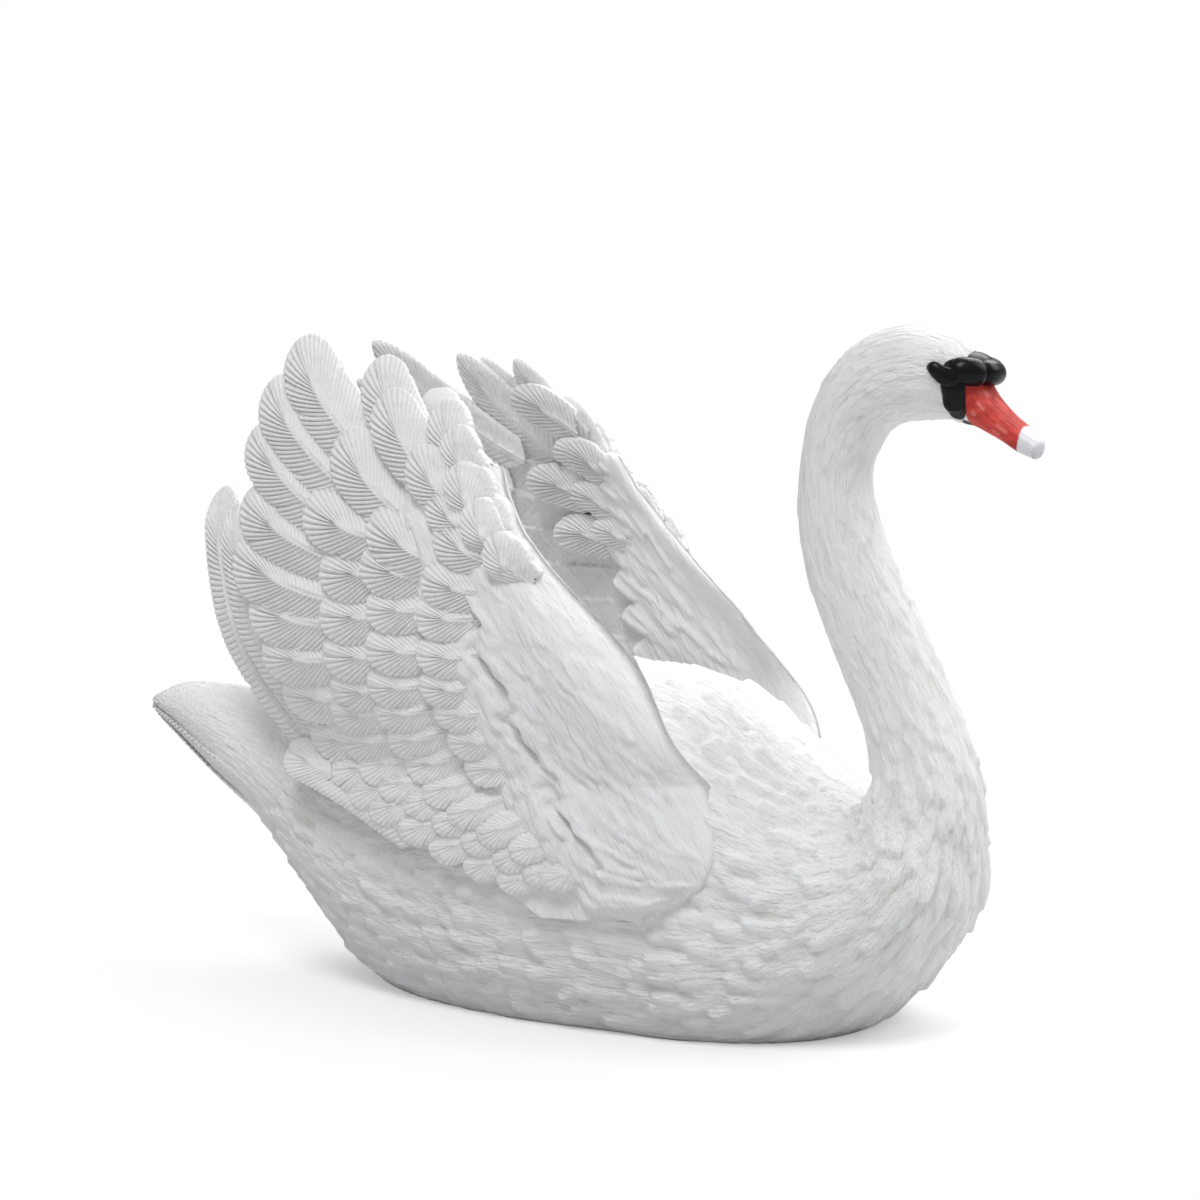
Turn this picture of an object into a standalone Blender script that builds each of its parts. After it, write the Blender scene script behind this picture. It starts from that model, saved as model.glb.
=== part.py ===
"""Moulded swan figurine with raised wings: a body with neck, head, bill and tail in one piece,
and two separately moulded wings that are glued into pockets in its flanks.

Axes: +X towards the head, +Y the swan's left side, +Z up. The origin is the middle of the flat base.
All sizes below are millimetres; the meshes are written in metres.
"""
import bpy
import numpy as np

MM = 0.001

# Overall sizes, and the size at which the tables below were drawn
LENGTH = 106.2            # tail to bill
WIDTH = 45.47             # over both wings
HEIGHT = 71.94            # underside to crown
DRAWN_SIZE = (106.2, 45.47, 71.94)
STRETCH = np.array([LENGTH, WIDTH, HEIGHT]) / DRAWN_SIZE

# Joints, walls and detail
SEAM = 0.3                # clear gap between a wing and its pocket
PROUD = 0.6               # how far a wing stands out from the flank at its front seam
PROUD_LOW = 0.7           # extra stand-out along the lower edge
WING_T = 2.4              # thickness of a wing's web
BAND_RISE = 0.7           # extra thickness of the covert band inside the free wing
VANE_T = 1.6              # thickness of the web where that band ends
VANE_STEP = 0.35          # slant of the long vanes on the inner face
POCKET_RISE = 3.0         # the pocket's cutter ends this far over the wing face
FEATHER_T = 1.4           # thickness of one feather
INNER_T = 1.9             # thickness of a covert lobe on the inner face
EDGE_ROLL = 5.0           # radius that rolls the leading edge inwards
PEG_R = 2.5               # locating peg that holds a wing in the body
PEG_END = 11.0            # the peg stops this far from the middle plane
PEG_AT = (1.0, 20.0)      # x, z of the peg
BODY_RINGS = 54
BODY_SIDES = 24

# Body sections from the tail to the bill: upper point x z, lower point x z, half width, squareness
STATIONS = np.array([
    (-64.9, 28.5, -64.6, 27.8, 2.2, 2.0),
    (-63.6, 29.5, -62.8, 26.4, 4.6, 2.0),
    (-60.0, 30.2, -58.6, 23.4, 6.6, 2.0),
    (-54.0, 29.9, -52.8, 18.8, 8.4, 2.0),
    (-47.0, 28.6, -46.4, 14.0, 9.6, 2.0),
    (-40.5, 28.4, -40.4, 7.6, 11.6, 2.1),
    (-32.0, 30.4, -33.0, 0.2, 14.0, 2.3),
    (-22.0, 33.4, -23.0, -3.4, 16.8, 2.6),
    (-10.0, 35.6, -11.0, -5.0, 18.8, 2.8),
    (0.0, 35.4, 1.0, -5.2, 19.2, 2.8),
    (7.0, 33.8, 10.5, -4.6, 18.7, 3.0),
    (13.0, 29.6, 18.8, -3.2, 17.4, 2.5),
    (18.2, 25.6, 25.2, 0.6, 15.8, 2.1),
    (22.0, 23.2, 31.0, 6.6, 13.6, 2.0),
    (23.7, 23.2, 34.7, 13.4, 11.2, 2.1),
    (24.4, 24.6, 35.3, 20.3, 8.2, 2.0),
    (24.4, 27.0, 35.1, 25.2, 6.6, 2.0),
    (23.6, 30.0, 33.9, 29.6, 5.7, 2.0),
    (21.6, 34.8, 31.2, 36.2, 5.2, 2.0),
    (18.9, 40.2, 28.2, 42.6, 4.9, 2.0),
    (16.7, 46.0, 25.3, 48.4, 4.5, 2.0),
    (15.6, 51.4, 23.8, 52.8, 4.1, 2.0),
    (15.6, 56.6, 23.3, 56.2, 3.9, 2.0),
    (16.2, 60.6, 24.0, 58.9, 4.0, 2.0),
    (17.3, 64.2, 25.5, 61.0, 4.2, 2.0),
    (19.4, 67.6, 27.3, 61.8, 4.6, 2.0),
    (22.4, 70.2, 28.8, 61.9, 5.0, 2.0),
    (25.8, 71.6, 30.2, 61.8, 5.2, 2.0),
    (29.2, 71.9, 31.5, 61.7, 5.0, 2.0),
    (32.2, 70.9, 32.7, 61.5, 4.4, 2.0),
    (34.4, 69.2, 33.6, 61.2, 3.8, 2.0),
    (35.9, 67.0, 34.6, 60.9, 3.3, 2.0),
    (37.2, 65.0, 35.9, 60.2, 3.0, 2.1),
    (38.8, 63.1, 37.5, 59.5, 2.7, 2.3),
    (40.4, 61.2, 39.3, 58.8, 2.5, 2.4),
    (41.3, 59.9, 40.6, 58.5, 1.5, 2.2),
])
TAIL_STATION = 3.2        # the stepped tail feathers fade out at this station
TAIL_STEP = 0.9           # height of one step between tail feathers

# Raised soft parts of the face: centre x y z, half sizes x y z, tilt about Y in degrees
FACE_LUMPS = {
    "knob": ((35.4, 0.0, 67.7), (2.9, 2.2, 1.5), 25.0),
    "lore_right": ((34.9, -2.4, 66.8), (2.2, 1.4, 1.3), 20.0),
    "lore_left": ((34.9, 2.4, 66.8), (2.2, 1.4, 1.3), 20.0),
    "eye_right": ((32.2, -4.0, 67.0), (2.1, 0.9, 0.9), 40.0),
    "eye_left": ((32.2, 4.0, 67.0), (2.1, 0.9, 0.9), 40.0),
    "cheek_right": ((33.4, -2.9, 64.3), (1.2, 1.2, 2.2), 0.0),
    "cheek_left": ((33.4, 2.9, 64.3), (1.2, 1.2, 2.2), 0.0),
}

# Height against distance of the free wing's outer face from the middle plane
WING_Z = (10.0, 20.0, 30.0, 40.0, 50.0, 60.0, 70.0, 80.0)
WING_Y = (19.3, 19.8, 19.9, 19.2, 17.4, 14.4, 10.6, 6.0)
REAR_CURL = 0.003         # inward curl of the wing behind x = -8
SHOULDER_RISE = 1.3       # how far the shoulder stands over the wing face
STEP_RUN = 0.25           # side-view length of the drop at a feather row's tips
# The groove that runs down behind the forearm
GROOVE = np.array([(-15.0, 45.0), (-8.5, 33.5), (-3.0, 25.0), (4.0, 16.5)])
GROOVE_DEPTH = 0.8

# Eleven rays across the wing from its top to its low front corner. Each gives x z at the leading edge,
# then at the tips of the four feather rows, innermost row first.
RAYS = np.array([
    ((-9.6, 56.5), (-15.5, 58.0), (-22.0, 59.5), (-28.5, 63.5), (-37.5, 71.0)),
    ((-8.2, 53.5), (-18.0, 54.6), (-25.6, 54.0), (-33.0, 58.0), (-42.6, 67.5)),
    ((-6.0, 49.5), (-17.6, 50.0), (-26.2, 49.0), (-34.5, 51.5), (-45.2, 59.0)),
    ((-2.5, 45.0), (-18.0, 45.5), (-25.8, 44.5), (-32.4, 45.5), (-45.3, 50.0)),
    ((1.5, 40.5), (-18.4, 41.0), (-25.0, 40.0), (-31.4, 40.0), (-43.0, 42.0)),
    ((5.4, 36.1), (-17.8, 36.0), (-24.4, 35.0), (-30.8, 34.5), (-39.0, 34.5)),
    ((9.6, 30.0), (-15.5, 30.5), (-22.8, 29.5), (-29.4, 28.5), (-35.4, 28.0)),
    ((12.8, 24.4), (-11.0, 25.5), (-18.0, 24.0), (-25.0, 23.6), (-30.0, 23.0)),
    ((14.2, 20.0), (-6.0, 21.0), (-11.5, 20.0), (-18.0, 20.2), (-22.0, 18.6)),
    ((13.2, 16.1), (0.0, 17.0), (-4.0, 16.8), (-9.5, 17.0), (-12.5, 15.2)),
    ((7.5, 12.5), (3.4, 12.7), (0.8, 12.4), (-2.4, 12.2), (-5.0, 12.1)),
])
FEATHERS_PER_ROW = 16
ROW_NOTCH = (0.16, 0.3, 0.3, 0.22)    # notch between two tips as a share of the feather, innermost row first
ROW_TOP = (2.1, 1.7, 1.3, 0.8)        # height of each row's tips over the wing face
ROW_ROOT = (1.3, 1.1, 0.8, 0.3)       # height at which each row comes out from under the one before
# Single feathers at the wing's top: tip x z, root x z, width, lift, bow
TOP_FEATHERS = (
    (-28.7, 67.8, -16.6, 53.0, 6.6, 0.7, 0.05),
    (-26.6, 64.3, -14.5, 52.9, 5.5, 1.6, 0.05),
    (-18.9, 63.7, -12.1, 55.8, 4.5, 1.0, 0.05),
    (-15.2, 60.2, -12.6, 54.7, 3.1, 1.2, 0.05),
    (-13.6, 56.0, -8.6, 50.8, 3.8, 1.7, 0.05),
)
# Long flight feathers behind the fan: tip x z, root x z, width, depth behind the outer face, bow
FLIGHT = (
    (-50.8, 53.5, -31.6, 23.4, 5.0, -3.0, 0.12),
    (-47.4, 51.8, -31.2, 26.7, 5.0, -2.0, 0.10),
    (-39.0, 25.8, -18.6, 18.4, 4.6, -0.2, -0.04),
)
# Covert lobes on the inner face along the leading edge: tip x z, root x z, width, lift, bow
INNER = (
    (-23.6, 64.0, -16.0, 58.4, 4.4, 0.8, -0.05),
    (-19.7, 58.3, -13.6, 54.9, 4.2, 1.0, -0.05),
    (-23.6, 54.3, -14.2, 51.0, 4.8, 0.9, -0.05),
    (-18.3, 52.6, -11.6, 48.8, 3.8, 1.3, -0.05),
    (-21.1, 47.9, -11.6, 46.0, 4.6, 0.9, -0.05),
    (-21.1, 43.2, -10.3, 41.9, 4.4, 0.9, -0.05),
    (-20.8, 38.9, -9.2, 39.2, 4.2, 0.9, -0.05),
)


def ease(low, high, value):
    """Smooth step from 0 at low to 1 at high."""
    t = np.clip((np.asarray(value, float) - low) / (high - low), 0.0, 1.0)
    return t * t * (3.0 - 2.0 * t)


def through(rows, at):
    """Smooth curve through the table's rows, read at fractional row numbers."""
    padded = np.vstack([2 * rows[0] - rows[1], rows, 2 * rows[-1] - rows[-2]])
    i = np.clip(np.floor(at).astype(int), 0, len(rows) - 2)
    f = (at - i)[:, None]
    a, b, c, d = padded[i], padded[i + 1], padded[i + 2], padded[i + 3]
    return 0.5 * (2 * b + (c - a) * f + (2 * a - 5 * b + 4 * c - d) * f**2 + (3 * b - a - 3 * c + d) * f**3)


def body_skin(at, angle):
    """Body surface: at each station a squared-off ellipse between its upper and lower points."""
    s = through(STATIONS, at)
    upper, lower, half, square = s[:, 0:2], s[:, 2:4], np.maximum(s[:, 4], 0.2)[:, None], s[:, 5][:, None]
    c, d = np.cos(angle)[None, :], np.sin(angle)[None, :]
    along = np.sign(c) * np.abs(c) ** (2 / square)
    across = np.sign(d) * np.abs(d) ** (2 / square)
    # stepped sides of the tail fan, three feathers deep
    step = (np.abs(np.arctan2(d, c)) - 1.2) / 0.42
    in_fan = (step > 0) & (step < 3)
    fade = (1 - ease(TAIL_STATION - 1.2, TAIL_STATION + 1.2, at))[:, None]
    notch = np.where(in_fan, step - np.floor(step), 0.0) * fade * TAIL_STEP
    middle, reach = (upper + lower) / 2, (upper - lower) / 2
    x = middle[:, 0:1] + reach[:, 0:1] * along
    z = middle[:, 1:2] + reach[:, 1:2] * along
    y = half * across - np.sign(across) * np.minimum(notch, 0.6 * half * np.abs(across))
    return np.stack([x, y, np.maximum(z, 0.0)], -1)


LEADING = RAYS[:8, 0]
FLANK_POINTS = body_skin(np.linspace(0, 16, 321), np.linspace(0, np.pi, 241)).reshape(-1, 3)


def flank(x, z):
    """Half width of the body at side-view points; 0 where the body doesn't reach."""
    out = np.zeros(x.shape)
    for i in np.ndindex(x.shape):
        far = (FLANK_POINTS[:, 0] - x[i]) ** 2 + (FLANK_POINTS[:, 2] - z[i]) ** 2
        near = np.argpartition(far, 4)[:4]
        weight = 1 / (far[near] + 1e-3)
        if far[near].min() < 1.0:
            out[i] = (weight * FLANK_POINTS[near, 1]).sum() / weight.sum()
    return out


def distance_to(line, x, z):
    """Side-view distance from points to a polyline."""
    best = np.full(x.shape, 1e9)
    for a, b in zip(line[:-1], line[1:]):
        ab = b - a
        t = np.clip(((x - a[0]) * ab[0] + (z - a[1]) * ab[1]) / (ab @ ab), 0, 1)
        best = np.minimum(best, np.hypot(x - a[0] - t * ab[0], z - a[1] - t * ab[1]))
    return best


def wing_face(x, z):
    """Distance of a wing's outer face from the middle plane.

    Low down it follows the flank, a little proud of it; higher it is a free wing that leans inwards,
    and its leading edge rolls over towards the inner face.
    """
    x, z = np.asarray(x, float), np.asarray(z, float)
    low = flank(x, np.minimum(z, 26.0))
    low = np.where(low <= 0, 9.0, low) + PROUD + PROUD_LOW * ease(6, -6, x) + 0.10 * np.clip(-12 - x, 0, 30)
    free = np.interp(z, WING_Z, WING_Y) - REAR_CURL * np.clip(-8 - x, 0, 80) ** 2
    lifted = ease(22, 38, z)
    inward = np.minimum(distance_to(LEADING, x, z), EDGE_ROLL)
    roll = EDGE_ROLL - np.sqrt(EDGE_ROLL**2 - (EDGE_ROLL - inward) ** 2)
    return (1 - lifted) * low + lifted * free - roll * ease(27, 38, z)


def new_mesh(name, verts, faces, collection, material):
    """Mesh object from vertices in drawn millimetres."""
    data = bpy.data.meshes.new(name)
    data.from_pydata([tuple(v) for v in np.asarray(verts) * STRETCH * MM], [], faces)
    data.materials.append(material)
    data.shade_smooth()
    obj = bpy.data.objects.new(name, data)
    collection.objects.link(obj)
    return obj


def grid(rows, cols, closed):
    """Quad faces of a rows by cols grid of vertices, closed round the columns or not."""
    faces = []
    for i in range(rows - 1):
        for j in range(cols if closed else cols - 1):
            k = (j + 1) % cols
            faces.append((i * cols + j, i * cols + k, (i + 1) * cols + k, (i + 1) * cols + j))
    return faces


def facing(verts, faces, outward):
    """The faces, turned so that on the whole they look along +Y or -Y as asked."""
    verts = np.asarray(verts)
    total = 0.0
    for f in faces:
        a, b, c = verts[f[0]], verts[f[1]], verts[f[2]]
        total += np.cross(b - a, c - a)[1]
    return faces if total * outward > 0 else [tuple(reversed(f)) for f in faces]


def thicken(obj, thickness):
    """Solidify inwards from the modelled face."""
    mod = obj.modifiers.new("thickness", "SOLIDIFY")
    mod.thickness = thickness * MM
    mod.offset = -1
    mod.use_even_offset = False
    flatten(obj)


def flatten(obj):
    """Split bent quads into flat triangles, so that a Boolean cuts them cleanly."""
    obj.modifiers.new("flat_faces", "TRIANGULATE").quad_method = "SHORTEST_DIAGONAL"


def feather_face(tip, root, width, lift, bow, inner):
    """One feather in side view, four cuts long and three points wide, laid on the wing face."""
    tip, root = np.array(tip), np.array(root)
    axis = (tip - root) / np.hypot(*(tip - root))
    length = np.hypot(*(tip - root))
    across = np.array([-axis[1], axis[0]])
    along = np.array([0.0, 0.45, 0.84, 1.0])[:, None]
    half = np.array([0.74, 1.0, 0.84, 0.26])[:, None] * width / 2
    v = np.array([-1.0, 0.0, 1.0])[None, :]
    side = v * half + bow * length * 4 * along * (1 - along)
    x = root[0] + axis[0] * length * along + across[0] * side
    z = root[1] + axis[1] * length * along + across[1] * side
    upper = np.sign(across[1]) if abs(across[1]) > 0.2 else np.sign(across[0])
    # rooted in the layer below, rising to its own layer, with its lower side over the next feather
    height = -0.3 + lift * ease(0, 0.45, along) + 0.4 * along + 0.3 * (1 - v**2)
    height = height - 0.3 * v * upper * (width / 5) * ease(0, 0.3, along)
    if inner:
        return x, z, wing_face(x, z) - WING_T + 0.5 - height
    return x, z, wing_face(x, z) + height


def add_feather(name, spec, side, collection, material, inner=False):
    x, z, y = feather_face(spec[0:2], spec[2:4], spec[4], spec[5], spec[6], inner)
    verts = np.stack([x, side * y, z], -1).reshape(-1, 3)
    faces = facing(verts, grid(*x.shape, False), -side if inner else side)
    obj = new_mesh(name, verts, faces, collection, material)
    thicken(obj, INNER_T if inner else FEATHER_T)
    return obj


def wing_grid(grow):
    """Side-view points and heights of a wing's outer face.

    Each column runs from the leading edge to the fringe. Where a feather row ends, two cuts lie close
    together, one at the tip's height and one at the height of the next row. Neighbouring rows are half a
    feather apart.
    """
    columns = 4 * FEATHERS_PER_ROW + 1
    at = np.linspace(0, len(RAYS) - 1, columns)
    lines = through(RAYS.reshape(len(RAYS), -1), at).reshape(columns, 5, 2)
    cuts, heights = [], []
    for share, height in ((0.0, 0.0), (0.3, SHOULDER_RISE), (0.7, SHOULDER_RISE)):
        cuts.append(lines[:, 0] * (1 - share) + lines[:, 1] * share)
        heights.append(np.full(columns, height))
    for row in range(4):
        v = ((np.arange(columns) + 2 * (row % 2)) % 4 - 2) / 2.0
        notch = (np.abs(v) ** 2.4 * ROW_NOTCH[row])[:, None]
        tip = lines[:, row + 1] * (1 - notch) + lines[:, row] * notch
        shape = 0.25 * (1 - v * v) + 0.3 * np.where(v < 0, v + 0.4, v + 0.1)
        cuts.append(tip)
        heights.append(ROW_TOP[row] + shape)
        if row < 3:
            past = lines[:, row + 2] - tip
            ahead = past / np.hypot(past[:, 0], past[:, 1])[:, None] * STEP_RUN
            cuts.append(tip + ahead)
            heights.append(np.full(columns, ROW_ROOT[row + 1]))
    flat, height = np.array(cuts), np.array(heights)
    if grow:
        outer = np.concatenate([flat[0], flat[1:, -1], flat[-1, ::-1], flat[::-1, 0]])
        middle = outer.mean(axis=0)
        away = flat - middle
        flat = middle + away * (1 + grow / np.hypot(away[..., 0], away[..., 1]))[..., None]
    return flat, height


def inner_cuts(flat):
    """Cuts and thicknesses of a wing's inner face: a thick covert band, a scalloped step, slanted vanes."""
    columns = flat.shape[1]
    v = ((np.arange(columns) + 2) % 4 - 2) / 2.0
    share = (0.58 + 0.10 * (1 - v * v))[:, None]
    band = flat[0] * (1 - share) + flat[3] * share
    vane = flat[0] * (0.95 - share) + flat[3] * (share + 0.05)
    free = [ease(30, 38, cut[:, 1]) for cut in (band, flat[-1])]
    edge = np.full(columns, WING_T)
    fringe = 0.5 * edge - VANE_STEP * v * free[1]
    thick = [edge, 0.88 * edge + BAND_RISE * free[0], np.full(columns, VANE_T), fringe]
    return np.array([flat[0], band, vane, flat[-1]]), np.array(thick)


def wing_solid(name, side, pocket, collection, material):
    """Closed wing between its feathered outer and inner faces, or the plain pocket that takes it."""
    flat, height = wing_grid(SEAM if pocket else 0.0)
    if pocket:
        flat = flat[[0, 2, -1]]
        height = np.full(flat.shape[:2], POCKET_RISE)
        back, thick = flat, (WING_T + SEAM) * np.array([1.0, 0.85, 0.5])[:, None]
    else:
        back, thick = inner_cuts(flat)
    groove = GROOVE_DEPTH * np.exp(-((distance_to(GROOVE, flat[..., 0], flat[..., 1]) / 1.4) ** 2))
    outer = wing_face(flat[..., 0], flat[..., 1]) + height - (0 if pocket else groove)
    inner = wing_face(back[..., 0], back[..., 1]) - thick
    cuts, columns = height.shape
    more = len(back)
    top = np.stack([flat[..., 0], side * outer, flat[..., 1]], -1).reshape(-1, 3)
    under = np.stack([back[..., 0], side * inner, back[..., 1]], -1).reshape(-1, 3)
    n, last = cuts * columns, (cuts + more - 1) * columns
    faces = grid(cuts, columns, False)
    faces += [tuple(n + k for k in reversed(f)) for f in grid(more, columns, False)]
    for j in range(columns - 1):
        faces.append((j + 1, j, n + j, n + j + 1))
        faces.append((n - columns + j, n - columns + j + 1, last + j + 1, last + j))
    ring = [i * columns for i in range(cuts)] + [last - i * columns for i in range(more)]
    faces.append(tuple(ring))
    faces.append(tuple(reversed([k + columns - 1 for k in ring])))
    if side < 0:
        faces = [tuple(reversed(f)) for f in faces]
    return new_mesh(name, np.vstack([top, under]), faces, collection, material)


def rod(name, side, radius, inner_y, outer_y, collection, material):
    """Round peg or its socket, lying across the body."""
    turn = np.linspace(0, 2 * np.pi, 16, endpoint=False)
    x, z = PEG_AT[0] + radius * np.cos(turn), PEG_AT[1] + radius * np.sin(turn)
    verts = [(a, side * y, b) for y in (inner_y, outer_y) for a, b in zip(x, z)]
    faces = grid(2, 16, True) + [tuple(range(15, -1, -1)), tuple(range(16, 32))]
    if side > 0:
        faces = [tuple(reversed(f)) for f in faces]
    return new_mesh(name, verts, faces, collection, material)


def lump(name, centre, half, tilt, collection, material):
    """Ellipsoid from rings, tilted nose down."""
    up = np.linspace(0, np.pi, 6)[1:-1, None]
    turn = np.linspace(0, 2 * np.pi, 8, endpoint=False)[None, :]
    ball = np.stack([np.cos(up) + 0 * turn, np.sin(up) * np.cos(turn), np.sin(up) * np.sin(turn)], -1)
    ball = np.vstack([ball.reshape(-1, 3), [[1, 0, 0], [-1, 0, 0]]]) * np.array(half)
    a = np.radians(tilt)
    x = ball[:, 0] * np.cos(a) + ball[:, 2] * np.sin(a)
    z = ball[:, 2] * np.cos(a) - ball[:, 0] * np.sin(a)
    turned = np.stack([x, ball[:, 1], z], -1) + np.array(centre)
    faces = grid(4, 8, True)
    faces += [((j + 1) % 8, j, 32) for j in range(8)]
    faces += [(24 + j, 24 + (j + 1) % 8, 33) for j in range(8)]
    return new_mesh(name, turned, [tuple(reversed(f)) for f in faces], collection, material)


def boolean(obj, operation, others):
    """Exact Boolean with a whole collection."""
    mod = obj.modifiers.new(operation.lower(), "BOOLEAN")
    mod.operation = operation
    mod.solver = "EXACT"
    mod.operand_type = "COLLECTION"
    mod.collection = others


def plastic(name, colour):
    mat = bpy.data.materials.new(name)
    mat.use_nodes = True
    shader = mat.node_tree.nodes["Principled BSDF"]
    shader.inputs["Base Color"].default_value = (*colour, 1.0)
    shader.inputs["Roughness"].default_value = 0.6
    return mat


for old in list(bpy.data.objects):
    bpy.data.objects.remove(old, do_unlink=True)

swan = bpy.data.collections.new("swan_figurine")
bpy.context.scene.collection.children.link(swan)
helpers = {}
for group in ("face_lumps", "pockets", "feathers_right", "feathers_left"):
    helpers[group] = bpy.data.collections.new(group)
    bpy.context.scene.collection.children.link(helpers[group])

# Body: one loft from the tail's tip to the bill's tip, closed with a face at each end
body_white = plastic("body_plastic", (0.86, 0.86, 0.84))
stations_at = np.linspace(0, len(STATIONS) - 1, BODY_RINGS)
skin = body_skin(stations_at, np.linspace(0, 2 * np.pi, BODY_SIDES, endpoint=False))
last_ring = (BODY_RINGS - 1) * BODY_SIDES
skin_faces = grid(BODY_RINGS, BODY_SIDES, True)
skin_faces += [tuple(range(BODY_SIDES)[::-1]), tuple(range(last_ring, last_ring + BODY_SIDES))]
skin_faces = [tuple(reversed(f)) for f in skin_faces]
body = new_mesh("body", skin.reshape(-1, 3), skin_faces, swan, body_white)
for lump_name, (centre, half, tilt) in FACE_LUMPS.items():
    lump(lump_name, centre, half, tilt, helpers["face_lumps"], body_white)

# Wings: the feathered web, single feathers inside and out, and the peg, all one solid
for side, hand in ((-1, "right"), (1, "left")):
    white = plastic("wing_%s_plastic" % hand, (0.86, 0.86, 0.84))
    parts = helpers["feathers_%s" % hand]
    wing = wing_solid("wing_%s" % hand, side, False, swan, white)
    for n, spec in enumerate(TOP_FEATHERS + FLIGHT):
        add_feather("feather_%s_%d" % (hand, n), spec, side, parts, white)
    for n, spec in enumerate(INNER):
        add_feather("inner_%s_%d" % (hand, n), spec, side, parts, white, inner=True)
    root_y = float(wing_face(np.array([PEG_AT[0]]), np.array([PEG_AT[1]]))[0])
    rod("peg_%s" % hand, side, PEG_R, PEG_END, root_y - 1.0, parts, white)
    flatten(wing)
    boolean(wing, "UNION", parts)
    flatten(wing_solid("pocket_%s" % hand, side, True, helpers["pockets"], white))
    rod("socket_%s" % hand, side, PEG_R + SEAM, PEG_END - SEAM, root_y - 1.0, helpers["pockets"], white)

flatten(body)
boolean(body, "UNION", helpers["face_lumps"])
boolean(body, "DIFFERENCE", helpers["pockets"])

for group in helpers.values():
    for obj in group.objects:
        obj.hide_render = True
        obj.display_type = "WIRE"
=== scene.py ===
"""Moulded swan figurine with raised wings, dressed for a studio picture.

Axes: +X towards the bill, +Y the swan's left side, +Z up, origin in the middle of the flat underside.
Shapes are worked out in millimetres and written to the meshes in metres.
"""
import bpy
import numpy as np
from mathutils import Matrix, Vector


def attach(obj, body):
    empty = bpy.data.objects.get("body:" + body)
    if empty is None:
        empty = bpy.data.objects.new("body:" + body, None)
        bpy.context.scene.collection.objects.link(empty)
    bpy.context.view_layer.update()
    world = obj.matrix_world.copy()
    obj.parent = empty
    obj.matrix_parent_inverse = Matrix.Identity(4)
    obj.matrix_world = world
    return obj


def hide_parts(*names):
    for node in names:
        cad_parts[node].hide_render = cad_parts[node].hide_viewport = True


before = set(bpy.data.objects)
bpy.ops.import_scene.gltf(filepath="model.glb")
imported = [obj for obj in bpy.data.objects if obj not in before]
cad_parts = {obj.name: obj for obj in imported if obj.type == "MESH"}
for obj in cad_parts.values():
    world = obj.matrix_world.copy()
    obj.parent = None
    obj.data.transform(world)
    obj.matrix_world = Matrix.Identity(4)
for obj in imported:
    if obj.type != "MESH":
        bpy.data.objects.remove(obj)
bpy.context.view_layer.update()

# The view: a long lens from the swan's right, a little ahead of it and almost level with its head.
# The lens sees 36 mm across the square picture, and the small shift only frames the figure.
view_from = Vector((0.13484, -0.26807, 0.0720))
view_to = Vector((-0.0060, -0.00319, 0.0420))
camera = bpy.data.cameras.new("studio_camera")
camera.lens = 85.95
camera.sensor_width = 36.0
camera.shift_y = 0.00525
camera.clip_start = 0.01
camera_object = bpy.data.objects.new("studio_camera", camera)
camera_object.location = view_from
camera_object.rotation_euler = (view_to - view_from).to_track_quat("-Z", "Y").to_euler()
bpy.context.scene.collection.objects.link(camera_object)
bpy.context.scene.camera = camera_object
bpy.context.scene.view_settings.view_transform = "Standard"


# Studio light: a bright, even room that is plain white where the camera looks at it, a large soft lamp high
# behind the figure, a weaker one behind it on the right of the picture, and a smaller one above in front.
def soft_lamp(name, place, size, power, tint):
    """Round lamp that points at the figure's middle."""
    lamp = bpy.data.lights.new(name, "AREA")
    lamp.shape = "DISK"
    lamp.size = size
    lamp.energy = power
    lamp.color = tint
    lamp_object = bpy.data.objects.new(name, lamp)
    lamp_object.location = place
    aim = Vector((0.0, 0.0, 0.03)) - Vector(place)
    lamp_object.rotation_euler = aim.to_track_quat("-Z", "Y").to_euler()
    bpy.context.scene.collection.objects.link(lamp_object)


soft_lamp("back_lamp", (0.0, 0.50, 0.60), 0.50, 2.7, (1.0, 0.995, 0.985))
soft_lamp("right_lamp", (0.42, 0.30, 0.48), 0.50, 2.0, (1.0, 0.995, 0.985))
soft_lamp("front_lamp", (0.02, -0.36, 0.72), 0.34, 2.9, (0.985, 0.99, 1.0))


def fill(node, values):
    """Sets numbers and colours on a node's sockets."""
    for socket, value in values.items():
        node.inputs[socket].default_value = value


def add_node(tree, kind, values=(), **settings):
    """New shader node with its settings and the values of its sockets; kind leaves out ShaderNode."""
    node = tree.nodes.new("ShaderNode" + kind)
    for setting, choice in settings.items():
        setattr(node, setting, choice)
    fill(node, dict(values))
    return node


def connect(tree, *pairs):
    """Links each pair's output to its input."""
    for source, target in pairs:
        tree.links.new(source, target)


def add_material(name, values):
    """New material with these values on its principled shader, as (material, node tree, shader)."""
    material = bpy.data.materials.new(name)
    material.use_nodes = True
    tree = material.node_tree
    shader = tree.nodes["Principled BSDF"]
    fill(shader, values)
    return material, tree, shader


room = bpy.data.worlds.new("pale_room")
bpy.context.scene.world = room
room.use_nodes = True
tree = room.node_tree
tree.nodes.clear()
even_light = add_node(tree, "Background", {"Color": (0.97, 0.98, 1.0, 1.0), "Strength": 0.38})
plain_white = add_node(tree, "Background", {"Color": (1.0, 1.0, 1.0, 1.0), "Strength": 1.0})
seen = add_node(tree, "LightPath")
choose = add_node(tree, "MixShader")
room_output = add_node(tree, "OutputWorld")
connect(
    tree,
    (seen.outputs["Is Camera Ray"], choose.inputs[0]),
    (even_light.outputs[0], choose.inputs[1]),
    (plain_white.outputs[0], choose.inputs[2]),
    (choose.outputs[0], room_output.inputs["Surface"]),
)

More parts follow.
